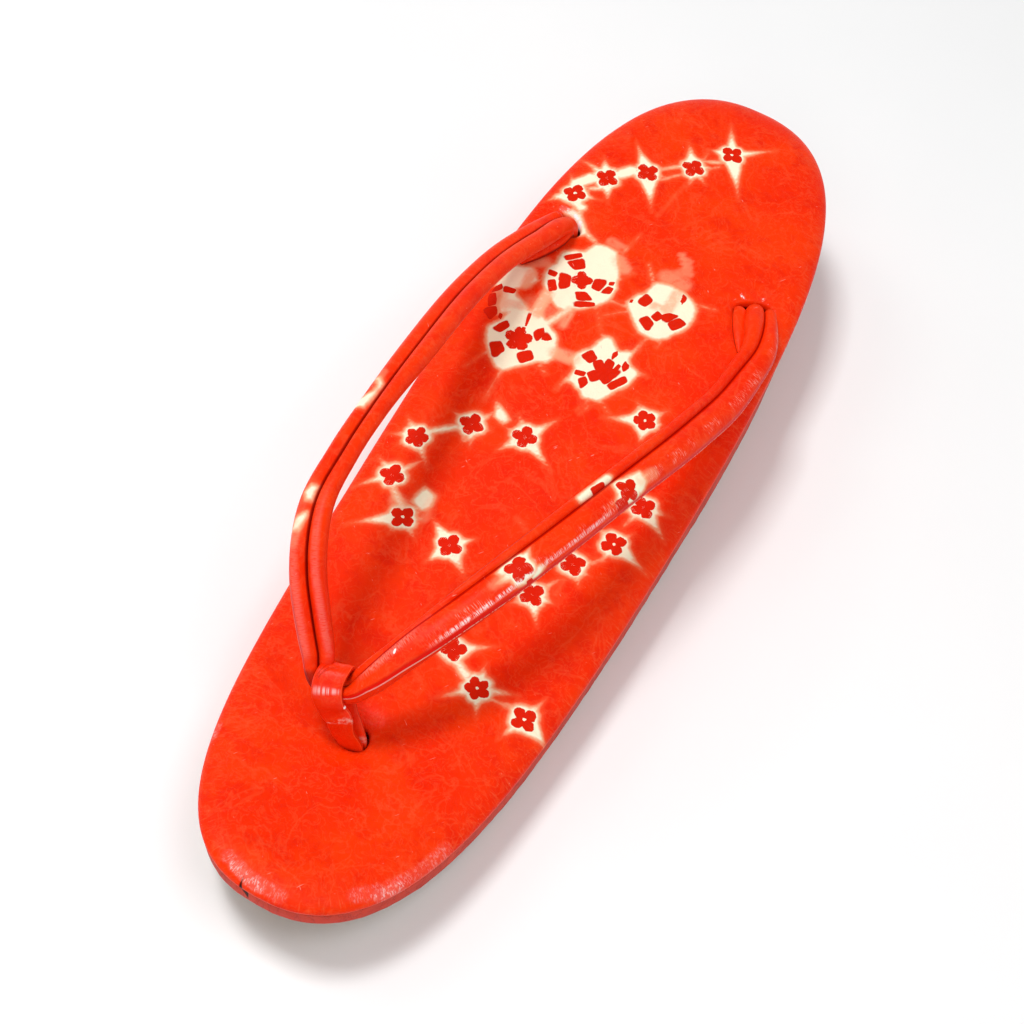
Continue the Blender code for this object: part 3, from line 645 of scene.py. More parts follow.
# ---- sole pieces ----
# A spread is (how many spans, how far they crowd to the ends).
COVER_ROWS, COVER_COLUMNS = (440, 0.8), (116, 0.72)
WEDGE_ROWS, OUTSOLE_ROWS = (330, 0.8), (220, 0.8)
LID_COLUMNS = (18, 0.3)
FLOOR_COLUMNS = (8, 0.0)
COVER_RINGS, LID_RINGS = 9, 2  # rings of faces round a hole
RINGS_REACH = 3.0  # how far round a hole they start
RINGS_END = 1.06  # the hole's share where they end
RINGS_CROWDING = 1.5
COVER_TURN_IN = ((0.06, 3.35), (0.22, 3.62), (0.5, 3.82))  # (inset, drop) below the widest line
COVER_UNDER_SHARE, WEDGE_LID_SHARE = 0.972, 0.95  # sizes of the flat lids over the outline
WEDGE_FLOOR_SHARE, OUTSOLE_SHARE = 0.9, 0.93
COVER_WELL_DEPTHS = (1.6, 2.6)
UNEVEN_HEIGHT, UNEVEN_SIZE, UNEVEN_SEED = 0.16, 14.0, 3.0  # the footbed's soft lumps
DIMPLE_REACH = 3.2
OUTLINE_STEPS = 6000
SQUARE_ON = 0.5  # nearer than this, the distance to the outline is taken square to it
RIPPLES = ((0.10, 2.2, 0.0), (0.10, 11.0, 5.0))  # (height, size, seed) of the wall's ripples
RIPPLE_LIMITS = (-0.2, 0.25)
RIPPLE_SLANT = 0.15  # how much a ripple changes up the wall, over how much it does along it
RIPPLE_HELD = 0.3  # share of the ripple left where the cover holds the wall
HELD_DEPTH = 0.5  # how far down it is held
RIPPLE_START = 3.0  # how far from the toe's tip the ripples come in


def spread_rows(count, crowding):
    """Places along the sole from toe to heel, closer together at both tips."""
    v = np.linspace(0, 1, count + 1)
    even, round_ = 2 * v - 1, -np.cos(math.pi * v)
    return LENGTH / 2 * ((1 - crowding) * even + crowding * round_)


def spread_columns(count, crowding):
    """Places across the sole from -1 to 1, closer together at both sides."""
    v = np.linspace(-1, 1, count + 1)
    return (1 - crowding) * v + crowding * np.sin(math.pi / 2 * v)


def hole_frame(hole, points):
    """(share of the hole's radius, turn round the hole) of each point."""
    points = np.asarray(points, float).reshape(-1, np.shape(points)[-1])
    turn = math.radians(hole.turn)
    x, y = points[:, 0] - hole.x, points[:, 1] - hole.y
    a = (x * math.cos(turn) + y * math.sin(turn)) / (hole.long / 2)
    b = (y * math.cos(turn) - x * math.sin(turn)) / (hole.short / 2)
    share = (np.abs(a) ** HOLE_SQUARE + np.abs(b) ** HOLE_SQUARE) ** (1 / HOLE_SQUARE)
    return share, np.arctan2(b, a)


def hole_ring(hole, turns, scale):
    """Points round the hole at those turns, at a share of its radius."""
    turn = math.radians(hole.turn)
    c, s = np.cos(turns), np.sin(turns)
    reach = (np.abs(c) ** HOLE_SQUARE + np.abs(s) ** HOLE_SQUARE) ** (-1 / HOLE_SQUARE) * scale
    a, b = c * reach * hole.long / 2, s * reach * hole.short / 2
    x = hole.x + a * math.cos(turn) - b * math.sin(turn)
    y = hole.y + a * math.sin(turn) + b * math.cos(turn)
    return np.stack([x, y], axis=-1)


def add_grid(shell, rows, columns, height, share):
    """Points in rows across the outline. Gives them, both tips and the border."""
    inner = rows[1:-1]
    y = np.repeat(inner, len(columns))
    x = np.tile(columns, len(inner)) * half_width(y)
    grid = np.array(shell.add(with_height(np.stack([x, y], -1) * share, height)))
    grid = grid.reshape(len(inner), -1)
    tips = shell.add(with_height(np.array([[0.0, rows[0]], [0.0, rows[-1]]]) * share, height))
    return grid, tips, [tips[0], *grid[:, -1], tips[1], *grid[::-1, 0]]


def add_cells(shell, grid, tips, open_cells):
    """Quads between the grid's points, but for the open cells, and triangles to both tips."""
    rows, columns = grid.shape
    for i in range(rows - 1):
        for j in range(columns - 1):
            if not open_cells[i, j]:
                face = (grid[i, j], grid[i, j + 1], grid[i + 1, j + 1], grid[i + 1, j])
                shell.faces.append(face)
    for tip, row in ((tips[0], grid[0]), (tips[1], grid[-1])):
        shell.faces += [(row[j], row[j + 1], tip) for j in range(columns - 1)]


def add_sheet(shell, rows, columns, height, rings, share=1.0):
    """A sheet over the outline with a round opening at each hole. Gives its border and the rims."""
    grid, tips, border = add_grid(shell, rows, columns, height, share)
    open_cells = np.zeros(grid.shape, bool)
    rims = [add_opening(shell, grid, open_cells, hole, height, rings) for hole in HOLES]
    add_cells(shell, grid, tips, open_cells)
    return border, rims


def add_floor(shell, rows, loop, height, share):
    """A closed lid that is joined to the loop."""
    columns = spread_columns(*FLOOR_COLUMNS)
    grid, tips, border = add_grid(shell, rows, columns, lambda x, y: height(y), share)
    add_cells(shell, grid, tips, np.zeros(grid.shape, bool))
    shell.strip(loop, border)


def with_height(points, height):
    """The (x, y) points with their height as the third column."""
    return np.column_stack([points, height(points[:, 0], points[:, 1])])


def add_opening(shell, grid, open_cells, hole, height, rings):
    """Cuts a block of cells round the hole and fills it with rings that end at a round rim."""
    at = np.array(shell.points)[grid][..., :2]
    reach = max(hole.long, hole.short) / 2 + RINGS_REACH
    near = np.abs(at[:, grid.shape[1] // 2, 1] - hole.y) < reach
    low, high = np.flatnonzero(near)[[0, -1]]
    mid = (low + high) // 2
    beside = np.flatnonzero(np.abs(at[mid, :, 0] - hole.x) < reach)
    left, right = beside[0], beside[-1]
    open_cells[low:high, left:right] = True
    loop = [*grid[low, left : right + 1], *grid[low + 1 : high + 1, right]]
    loop += [*grid[high, left:right][::-1], *grid[low + 1 : high, left][::-1]]
    outer = np.array([shell.points[k][:2] for k in loop])
    turns = hole_frame(hole, outer)[1]
    rim = hole_ring(hole, turns, RINGS_END)
    for ring in range(1, rings + 1):
        share = 1 - (1 - ring / rings) ** RINGS_CROWDING
        added = shell.add(with_height(outer + (rim - outer) * share, height))
        shell.strip(loop, added)
        loop = added
    turns = np.linspace(0, 2 * math.pi, RIM_POINTS, endpoint=False)
    edge = shell.add(with_height(hole_ring(hole, turns, 1.0), height))
    shell.join(loop, edge, lambda p: hole_frame(hole, [p[:2]])[1][0])
    return edge


def distance_to_outline(points):
    """(distance to the outline, place along it) for each (x, y) point."""
    turns = np.linspace(0, 2 * math.pi, OUTLINE_STEPS, endpoint=False)
    y = -LENGTH / 2 * np.cos(turns)
    line = np.stack([np.copysign(half_width(y), np.sin(turns)), y], -1)
    along = run_along(line)
    tree = KDTree(len(line))
    for k, (px, py) in enumerate(line):
        tree.insert((px, py, 0), k)
    tree.balance()
    found = np.zeros((len(points), 2))
    for k, (px, py) in enumerate(points[:, :2]):
        place, index, _ = tree.find((px, py, 0))
        before, after = line[index - 1], line[(index + 1) % len(line)]
        direction = (after - before) / max(np.linalg.norm(after - before), 1e-9)
        offset = np.array([px - place[0], py - place[1]])
        straight = np.linalg.norm(offset)
        across = abs(offset[0] * direction[1] - offset[1] * direction[0])
        found[k] = (across if straight < SQUARE_ON else straight, along[index])
    return found


def footbed_surface(x, y):
    """Height of the leather footbed: crowned edge, soft unevenness and dimples at the holes."""
    points = np.stack([x, y], -1)
    edge = distance_to_outline(points)[:, 0]
    fall = np.clip(1 - edge / EDGE_ROUND, 0, 1)
    height = footbed(y) - EDGE_DROP * (1 - np.sqrt(np.clip(1 - fall * fall, 0, 1)))
    flat = np.column_stack([points, np.zeros(len(points))])
    height += UNEVEN_HEIGHT * wobble(flat, UNEVEN_SIZE, UNEVEN_SEED)
    for hole in HOLES:
        share = hole_frame(hole, points)[0]
        away = np.clip((share - 1) * (hole.long + hole.short) / 4, 0, None)
        height -= hole.lip * np.exp(-((away / DIMPLE_REACH) ** 2))
        turn_in = np.clip(1 - away / RIM_ROUND, 0, 1)
        height -= RIM_ROUND * (1 - np.sqrt(1 - turn_in**2))
    return height


def build_top_cover(material):
    """The padded footbed: its crowned leather, turned in under the edge and down into the holes."""
    shell = Shell()
    rows = spread_rows(*COVER_ROWS)
    columns = spread_columns(*COVER_COLUMNS)
    border, rims = add_sheet(shell, rows, columns, footbed_surface, COVER_RINGS)
    loop = border
    for inset, drop in COVER_TURN_IN:
        loop = add_inner_loop(shell, border, loop, inset, drop)
    below, wells = add_sheet(
        shell, rows, spread_columns(*LID_COLUMNS), cover_under, LID_RINGS, COVER_UNDER_SHARE
    )
    shell.strip(loop, below)
    for hole, rim, well in zip(HOLES, rims, wells):
        shell.strip(add_walls(shell, hole, rim), well)
    cover = shell.piece("cover_leather", "top_cover", "glossy_red_leather", material)
    flat, heights = places(cover)[:, :2], places(cover)[:, 2]
    put_chart(cover, flat, FOOTBED_CHART)
    edge, around = distance_to_outline(flat).T
    # `shine` marks where highlights are painted.
    put_values(cover, edge=edge, around=around, shine=smeared(flat, FOOTBED_PAINTED_HIGHLIGHTS))
    put_values(cover, sunk=(footbed(flat[:, 1]) - heights) * (edge > EDGE_ROUND / 2))


def cover_under(x, y):
    return footbed(y) - COVER_THICK


def add_inner_loop(shell, border, last, inset, drop):
    """A loop below the border, moved inwards, joined to the last one."""
    line = np.array([shell.points[k][:2] for k in border])
    moved = line + inwards(line) * inset
    added = shell.add(np.column_stack([moved, footbed(line[:, 1]) - drop]))
    shell.strip(last, added)
    return added


def add_walls(shell, hole, rim):
    """Rings down inside the hole. Gives the lowest."""
    for depth in COVER_WELL_DEPTHS:
        line = np.array([shell.points[k] for k in rim])
        turns = hole_frame(hole, line[:, :2])[1]
        level = footbed(line[:, 1]) - depth - hole.lip
        added = shell.add(np.column_stack([hole_ring(hole, turns, 1.0), level]))
        shell.strip(rim, added)
        rim = added
    return rim


WALL_PROFILE = (  # (inset, share of the wall's height from its foot, rise above that)
    (1.6, 1, 0), (1.15, 1, -0.12), (0.9, 1, -0.32), (0.76, 1, -0.6),
    (0.7, 1, -0.95), (0.66, 0.86, 0), (0.62, 0.72, 0), (0.6, 0.58, 0),
    (0.62, 0.44, 0), (0.68, 0.3, 0), (0.78, 0.18, 0), (0.9, 0, 2.3),
    (1, 0, 1.7), (1.15, 0, 1.15), (1.4, 0, 0.65), (1.7, 0, 0.3),
    (2.1, 0, 0.1), (2.9, 0, 0),
)


def wedge_top(x, y):
    return cover_under(x, y) - GAP


def wedge_foot(y):
    return outsole_top(y) + GAP


def outline_loop(rows):
    """(x, y) points round the outline, from the toe's tip by +X to the heel and back."""
    inner = rows[1:-1]
    right = np.stack([half_width(inner), inner], -1)
    left = right[::-1] * (-1, 1)
    return np.concatenate([[(0, rows[0])], right, [(0, rows[-1])], left])


def inwards(line):
    """Directions into a closed line of (x, y) points."""
    along = np.roll(line, -1, axis=0) - np.roll(line, 1, axis=0)
    along /= np.linalg.norm(along, axis=1, keepdims=True)
    return np.stack([-along[:, 1], along[:, 0]], -1)


def wall_section(line, inset, share, rise):
    """One loop of the wedge's wall, with its soft upright ripples."""
    top, foot = wedge_top(0, line[:, 1]), wedge_foot(line[:, 1])
    level = foot + (top - foot) * share + rise
    along = run_along(line)
    at = np.column_stack([along, level * RIPPLE_SLANT, np.zeros(len(line))])
    ripple = sum(height * wobble(at, size, seed) for height, size, seed in RIPPLES)
    ripple *= 1 - np.exp(-np.minimum(along, along[-1] - along) / RIPPLE_START)
    if share == 1.0 and rise > -HELD_DEPTH:
        ripple *= RIPPLE_HELD
    moved = line + inwards(line) * (inset + np.clip(ripple, *RIPPLE_LIMITS))[:, None]
    return np.column_stack([moved, level])


def build_wedge(material):
    """The wrapped wedge: a wall of drawn leather, a lid with wells for the holes, and a floor."""
    shell = Shell()
    rows = spread_rows(*WEDGE_ROWS)
    line = outline_loop(rows)
    loops = shell.band([wall_section(line, *profile) for profile in WALL_PROFILE])
    lid, wells = add_sheet(
        shell, rows, spread_columns(*LID_COLUMNS), wedge_top, LID_RINGS, WEDGE_LID_SHARE
    )
    shell.strip(loops[0], lid)
    for hole, rim in zip(HOLES, wells):
        turns = hole_frame(hole, [shell.points[k][:2] for k in rim])[1]
        floor = np.full(len(rim), footbed(hole.y) - hole.depth)
        bottom = shell.add(np.column_stack([hole_ring(hole, turns, 1.0), floor]))
        shell.strip(rim, bottom)
        shell.fan(bottom)
    add_floor(shell, rows, loops[-1], wedge_foot, WEDGE_FLOOR_SHARE)
    shell.piece("wedge_wrap", "wedge_sole", "matte_red_leather", material)


OUTSOLE_PROFILE = (  # (inset, height over the underside)
    (2.3, 2), (2.08, 1.93), (2, 1.75), (1.97, 1.3), (1.97, 0.8),
    (2.02, 0.35), (2.15, 0.12), (2.4, 0),
)


def outsole_top(y):
    return underside(y) + OUTSOLE_THICK


def build_outsole(material):
    """The thin sheet of tan leather, with its rounded foot."""
    shell = Shell()
    rows = spread_rows(*OUTSOLE_ROWS)
    line = outline_loop(rows)
    low = underside(line[:, 1])
    sections = []
    for inset, rise in OUTSOLE_PROFILE:
        sections.append(np.column_stack([line + inwards(line) * inset, low + rise]))
    loops = shell.band(sections)
    add_floor(shell, rows, loops[0], outsole_top, OUTSOLE_SHARE)
    add_floor(shell, rows, loops[-1], underside, OUTSOLE_SHARE)
    shell.piece("outsole_leather", "outsole", "tan_leather", material)


# ---- straps and loop ----
def smooth_rows(rows, steps):
    """`steps` + 1 rows on a smooth curve through the given ones, evenly spread along it."""
    knots = np.array(rows, float)
    at = run_along(knots[:, :3])
    slopes = np.gradient(knots, at, axis=0)
    s = np.linspace(0.0, at[-1], steps + 1)
    k = np.clip(np.searchsorted(at, s, side="right") - 1, 0, len(at) - 2)
    span = (at[k + 1] - at[k])[:, None]
    v = (s - at[k])[:, None] / span
    return (
        (1 + 2 * v) * (1 - v) ** 2 * knots[k]
        + v * (1 - v) ** 2 * span * slopes[k]
        + v * v * (3 - 2 * v) * knots[k + 1]
        + v * v * (v - 1) * span * slopes[k + 1]
    )


def rear_bend(hole, first, following):
    """Rows from the bottom of a strap's well up the bend to its first station."""
    run = Vector((following.x - first.x, following.y - first.y))
    away = run.normalized()
    turn = math.pi / 2 - math.atan2(following.height - first.height, run.length)
    upright = Vector((first.x, first.y)) - away * STRAP_BEND_RADIUS * (1 - math.cos(turn))
    low = footbed(hole.y) + first.height - STRAP_BEND_RADIUS * math.sin(turn)
    bottom = upright - away * STRAP_END_LEAN
    end = (STRAP_END_WIDTH, STRAP_END_THICK, 0.0, first.inner)
    rows = [(bottom.x, bottom.y, footbed(hole.y) - STRAP_END_DEPTH, *end)]
    for share in BEND_SHARES:
        angle = turn * share
        place = upright + away * STRAP_BEND_RADIUS * (1 - math.cos(angle))
        rows.append((place.x, place.y, low + STRAP_BEND_RADIUS * math.sin(angle), *end))
    return rows


def free_rows(stations):
    """Rows for the stations between the wells."""
    return [(s.x, s.y, footbed(s.y) + s.height, s.width, s.thick, s.tilt, s.inner) for s in stations]


def strap_section(width, thick, inner):
    """(across, up) points of the double roll: across runs from the outer edge to the inner one."""
    floor = GROOVE_SHARE * thick
    points = []
    for number, (start, span) in enumerate(
        ((-width / 2, (1 - inner) * width), (width / 2 - inner * width, inner * width))
    ):
        radius = span / 2
        height = min(thick / 2, ROLL_ROUND * radius)
        end = math.asin(min(1.0, floor / height))
        low, high = (math.pi, end) if number == 0 else (math.pi - end, 0.0)
        for i in range(LOBE_STEPS):
            angle = low + (high - low) * (i + number) / LOBE_STEPS
            points.append((start + radius * (1 + math.cos(angle)), height * math.sin(angle)))
        if number == 0:
            points.append((start + span, floor * GROOVE_SINK))
    for i in range(1, UNDER_STEPS + 1):
        angle = -math.pi * i / (UNDER_STEPS + 1)
        points.append((width / 2 * math.cos(angle), thick / 2 * math.sin(angle)))
    return points


def strap_rows():
    """Rows from the bottom of the left well over both straps to the bottom of the right one."""
    left = rear_bend(LEFT_HOLE, LEFT_STRAP[0], LEFT_STRAP[1]) + free_rows(LEFT_STRAP)
    right = rear_bend(RIGHT_HOLE, RIGHT_STRAP[-1], RIGHT_STRAP[-2]) + free_rows(RIGHT_STRAP[::-1])
    return smooth_rows(left + free_rows([JOINT]) + right[::-1], STRAP_STEPS)


def strap_frame(direction, tilt=0.0):
    """(across, up) of a strap that runs that way and is tilted about its run."""
    direction = Vector(direction).normalized()
    across = Vector((-direction.y, direction.x, 0)).normalized()
    across = Matrix.Rotation(math.radians(tilt), 3, direction) @ across
    return across, direction.cross(across)


def ring_at(place, across, up, outline):
    """The outline's (across, up) points round the place."""
    return [Vector(place) + across * a + up * b for a, b in outline]


def tuck_sections(tucks):
    """The strap's folded inner edge, which shows beside its end, as oval rings."""
    rows = [(t.x, t.y, footbed(t.y) + t.height, t.width, t.thick) for t in tucks]
    rows = smooth_rows(rows, TUCK_STEPS)
    turns = [2 * math.pi * i / TUCK_SIDES for i in range(TUCK_SIDES)]
    sections = []
    for (x, y, z, width, thick), direction in zip(rows, np.gradient(rows[:, :3], axis=0)):
        across, up = strap_frame(direction)
        ring = [(width / 2 * math.cos(turn), thick / 2 * math.sin(turn)) for turn in turns]
        sections.append(ring_at((x, y, z), across, up, ring))
    return sections


def strap_rings(rows):
    """The straps' rings, with each point's girth from the groove and its place on the rolls."""
    sections, girths, rolls = [], [], []
    for row, direction in zip(rows, np.gradient(rows[:, :3], axis=0)):
        width, thick, tilt, inner = row[3:]
        across, up = strap_frame(direction, tilt)
        section = strap_section(width, thick, inner)
        sections.append(ring_at(row[:3], across, up, section))
        girth = run_along(section)
        girths.append(girth - girth[LOBE_STEPS])
        rolls.append(np.interp(girth, girth[[0, LOBE_STEPS, 2 * LOBE_STEPS, -1]], ROLL_PLACES))
    return sections, np.array(girths), np.array(rolls)


def build_straps(material):
    """Both straps as one swept double roll, and the tucks beside their ends."""
    rows = strap_rows()
    sections, girth, roll = strap_rings(rows)
    tucks = [tuck_sections(tuck) for tuck in (LEFT_TUCK, RIGHT_TUCK)]
    shell = Shell()
    for rings in (sections, *tucks):
        shell.tube(rings)
    straps = shell.piece("strap_leather", "straps", "glossy_red_leather", material, ROLL_SHARP)
    turns = 2 * math.pi * np.arange(TUCK_SIDES) / TUCK_SIDES
    tuck = np.append(np.tile(TUCK_ROLL + np.sin(turns), TUCK_STEPS + 1), [TUCK_ROLL] * 2)
    extra = 2 + 2 * len(tuck)
    run = np.append(np.repeat(run_along(rows[:, :3]), girth.shape[1]), np.zeros(extra))
    girth = np.append(girth, np.full(extra, UNMARKED_GIRTH))
    roll = np.concatenate([roll.ravel(), [CAP_ROLL] * 2, tuck, tuck])
    put_values(straps, run=run, girth=girth, roll=roll)
    put_chart(straps, np.stack([run, girth], -1), STRAP_CHART)


def build_toe_loop(material):
    """The flat band over the middle of the straps, with both legs down the front hole."""
    rows = [(f.x, f.y, footbed(THONG_HOLE.y) + f.height, f.width, f.facing) for f in TOE_LOOP]
    rows = smooth_rows(rows, LOOP_STEPS)
    turns = 2 * math.pi * np.arange(LOOP_SIDES) / LOOP_SIDES
    wide, deep = (
        np.copysign(np.abs(part) ** power, part) / 2
        for part, power in zip((np.cos(turns), np.sin(turns)), LOOP_EDGE)
    )
    sections = []
    for (x, y, z, width, facing), direction in zip(rows, np.gradient(rows[:, :3], axis=0)):
        direction, facing = Vector(direction).normalized(), math.radians(facing)
        across = Vector((math.cos(facing), math.sin(facing), 0))
        normal = direction.cross(across).normalized()
        side = normal.cross(direction)
        ring = zip(wide * width, deep * LOOP_THICK)
        sections.append(ring_at((x, y, z), side, normal, ring))
    shell = Shell()
    shell.tube(sections)
    loop = shell.piece("loop_leather", "toe_loop", "glossy_red_leather", material, ROLL_SHARP)
    run = np.repeat(run_along(rows[:, :3]), LOOP_SIDES)
    side = np.append(np.tile(np.cos(turns), LOOP_STEPS + 1), [0, 0])
    put_values(loop, run=np.append(run, [run[0], run[-1]]), side=side)


# ---- shader sums ----
def sums(operation, swapped=False):
    """A way for a wire to add a Math node, with itself as the first number or the second."""

    def method(self, *others):
        values = (*others, self) if swapped else (self, *others)
        return self.node("Math", {"operation": operation}, dict(enumerate(values)))

    return method


class Wire:
    """A node's output. Sums on it add Math nodes to its tree."""

    def __init__(self, tree, socket=None):
        self.tree, self.socket = tree, socket

    def node(self, kind, settings, inputs, output=0):
        """Adds a node: first its settings, then the values or links of its sockets."""
        made = self.tree.nodes.new("ShaderNode" + kind)
        for name, value in settings.items():
            setattr(made, name, value)
        for key, value in inputs.items():
            if isinstance(value, Wire):
                self.tree.links.new(value.socket, made.inputs[key])
            else:
                made.inputs[key].default_value = value
        return Wire(self.tree, made.outputs[output])

    __add__ = __radd__ = sums("ADD")
    __mul__ = __rmul__ = sums("MULTIPLY")
    __sub__, __rsub__ = sums("SUBTRACT"), sums("SUBTRACT", swapped=True)
    __pow__, __rtruediv__ = sums("POWER"), sums("DIVIDE", swapped=True)
    __abs__, floor = sums("ABSOLUTE"), sums("FLOOR")
    most, least = sums("MAXIMUM"), sums("MINIMUM")
    sine, cosine = sums("SINE"), sums("COSINE")
    turn_over, wrapped, above = sums("ARCTAN2"), sums("WRAP"), sums("GREATER_THAN")

    def ease(self, low, high):
        """0 below `low`, 1 above `high` and a soft step between. `high` may be the lower one."""
        settings = {"interpolation_type": "SMOOTHSTEP"}
        return self.node("MapRange", settings, {"Value": self, "From Min": low, "From Max": high})

    def near(self, middle, reach, core):
        """1 within `core` of the middle and 0 from `reach` on."""
        return abs(self - middle).ease(reach, core)

    def span(self, start, full, last, end):
        """1 from `full` to `last`, and 0 before `start` and after `end`."""
        return self.ease(start, full) * self.ease(end, last)

    def parts(self):
        """The three numbers of a vector."""
        split = self.node("SeparateXYZ", {}, {0: self}).socket.node
        return [Wire(self.tree, split.outputs[axis]) for axis in "XYZ"]

    def value(self, name):
        """One of the piece's own numbers."""
        return self.node("Attribute", {"attribute_name": name}, {}, "Fac")

    def places(self):
        """Places in millimetres."""
        metres = self.node("TexCoord", {}, {}, "Object")
        return metres.stretched(1 / MM, 1 / MM, 1 / MM)

    def stretched(self, x, y, z):
        return self.node("VectorMath", {"operation": "MULTIPLY"}, {0: self, 1: (x, y, z)})

    def turned(self, degrees):
        """The places turned about Z."""
        angle = {"Vector": self, "Angle": math.radians(degrees)}
        return self.node("VectorRotate", {"rotation_type": "Z_AXIS"}, angle)

    def noise(self, size, detail=2.0, rough=0.5, warp=0.0):
        """Noise from 0 to 1 at these places, with lumps about `size` across."""
        inputs = {"Vector": self, "Scale": 1 / size, "Detail": detail}
        inputs |= {"Roughness": rough, "Distortion": warp}
        return self.node("TexNoise", {}, inputs, "Fac")

    def between(self, below, above):
        """The number `below` where this is 0 and `above` where it is 1."""
        return (above - below) * self + below

    def over(self, below, above):
        """The colour `above` laid over `below` where this is 1."""
        sockets = {0: self, 6: as_colour(below), 7: as_colour(above)}
        return self.node("Mix", {"data_type": "RGBA"}, sockets, 2)


def as_colour(value):
    return value if isinstance(value, Wire) else (*value, 1.0)


def start_material(name, **constants):
    """A material with its shader's fixed numbers set. Gives the material and its graph."""
    material = bpy.data.materials.new(name)
    material.use_nodes = True
    shader = material.node_tree.nodes["Principled BSDF"]
    for socket, value in constants.items():
        shader.inputs[socket.replace("_", " ")].default_value = value
    return material, Wire(material.node_tree)


def finish_material(material, colour, roughness, height, depth):
    """Links colour, roughness and a bump of the given depth in millimetres."""
    tree = material.node_tree
    shader = tree.nodes["Principled BSDF"]
    tree.links.new(colour.socket, shader.inputs["Base Color"])
    tree.links.new(roughness.socket, shader.inputs["Roughness"])
    bump = height.node("Bump", {}, {"Height": height, "Distance": depth * MM, "Strength": 1.0})
    tree.links.new(bump.socket, shader.inputs["Normal"])
    return material


# ---- finishes ----
# A noise is (size, detail, roughness, warp), with the last two left out where they are usual.
# A rise is (where it starts, where it is full). A share is how strongly a colour is laid on and a
# shade how strongly a painted shade is laid on, and names with ROUGH and HIGH or DEEP are what goes
# into the roughness and the bump.
RED = (0.92, 0.024, 0.0004)
DEEP_RED = (0.82, 0.012, 0.0003)
ORANGE_RED = (0.96, 0.040, 0.001)
SHADE_RED = (0.52, 0.004, 0.0002)
RIM_RED = (0.60, 0.010, 0.0004)
PETAL_RED = (0.73, 0.014, 0.0004)
SHADE_DARK_RED = (0.22, 0.002, 0.0005)
HOLE_SHADE_BLACK = (0.05, 0.002, 0.001)
SHADE_BAND_RED = (0.80, 0.004, 0.0001)
SLIT_BROWN = (0.030, 0.006, 0.003)
PALE = (0.98, 0.50, 0.40)
PINK = (1.0, 0.36, 0.32)
GLINT = (1.0, 0.90, 0.88)
CREAM = (0.97, 0.92, 0.68)
PEACH = (0.94, 0.42, 0.23)
BLUSH = (0.94, 0.15, 0.05)
WALL_RED = (0.56, 0.030, 0.012)
WALL_PALE_RED = (0.70, 0.052, 0.022)
WALL_DEEP_RED = (0.42, 0.016, 0.007)
WRINKLE_RED = (0.36, 0.012, 0.006)
TAN = (0.45, 0.27, 0.14)
TAN_BROWN = (0.30, 0.16, 0.08)
PALE_TAN = (0.55, 0.36, 0.20)
PORE_BROWN = (0.16, 0.08, 0.04)


def petals(graph, spot, name):
    """How far inside a red petal or stone each place lies."""
    mark = graph.node("Attribute", {"attribute_name": name}, {}, "Vector")
    forward, aside, kind = mark.parts()
    sway = (spot.noise(*PETAL_NOISES[0]) - 0.5) * PETAL_SWAY
    swing = (spot.turned(90).noise(*PETAL_NOISES[1]) - 0.5) * PETAL_SWAY
    count = kind.floor().most(1.0)
    dot = kind - kind.floor()
    u, v = forward + sway, aside + swing
    part = 2 * math.pi / count
    folded = v.turn_over(u).wrapped(part * 0.5, part * -0.5)
    reach = (u * u + v * v) ** 0.5
    ahead = reach * folded.cosine() - PETAL_REACH
    beside = reach * folded.sine()
    half = (part * 0.5).sine() * PETAL_HALF[0] + PETAL_HALF[1]
    petal = (half - (ahead * ahead + beside * beside) ** 0.5).most(FLOWER_MIDDLE - reach)
    petal = petal.least(PETAL_MOST - dot * DOT_SINK * reach.ease(*DOT_HALF))
    a, b = abs(forward + sway * STONE_SWAY), abs(aside + swing * STONE_SWAY)
    stone = STONE_HALF - (a**STONE_SQUARE + b**STONE_SQUARE) ** (1 / STONE_SQUARE)
    is_flower = kind.above(1.0)
    return is_flower * petal + (1 - is_flower) * stone


FINE_WANDER, WIDE_WANDER = (0.9, 3.0), (3.5, 2.0)  # noises that make the undyed rim uneven
FINE_WANDER_BY, WIDE_WANDER_BY = 0.5, 0.6  # millimetres
SMEAR, SMEAR_RISE = (2.2, 4.0, 0.6), (0.15, 0.55)
BLUSH_RISE, PEACH_RISE, CREAM_RISE = (-1.6, 0.0), (-0.65, 0.25), (0.0, 0.7)
BLUSH_SHARE = 0.5
MARK_RIM, MARK_RISE = (0.0, 0.22), (-0.06, 0.08)


def dyed(graph, spot, base):
    """The base colour with the undyed leather, its soft rims and the red marks on it."""
    fine, wide = spot.noise(*FINE_WANDER) - 0.5, spot.noise(*WIDE_WANDER) - 0.5
    inside = graph.value("undyed") + (fine * FINE_WANDER_BY + wide * WIDE_WANDER_BY)
    smear = graph.value("smeared") * spot.noise(*SMEAR).ease(*SMEAR_RISE)
    colour = (inside.ease(*BLUSH_RISE) * BLUSH_SHARE).over(base, BLUSH)
    colour = inside.ease(*PEACH_RISE).over(colour, PEACH)
    colour = inside.ease(*CREAM_RISE).over(colour, CREAM)
    colour = smear.over(colour, PEACH)
    depth = petals(graph, spot, "mark").most(petals(graph, spot, "next_mark"))
    mark = depth.ease(*MARK_RIM).over(RIM_RED, PETAL_RED)
    return depth.ease(*MARK_RISE).over(colour, mark)


CLOUDS, CLOUD_RISE = (17.0, 5.0, 0.55, 0.3), (0.35, 0.65)
MIST, MIST_RISE, MIST_SHARE = (6.0, 4.0, 0.6, 0.2), (0.52, 0.3), 0.6
VEINS, VEIN_HALF, VEIN_SHARE = (14.0, 4.0, 0.55, 0.6), (0.02, 0.0), 0.16
FINE_VEINS, FINE_VEIN_HALF, FINE_VEIN_TURN = (3.0, 3.0, 0.6, 1.0), (0.04, 0.0), 37


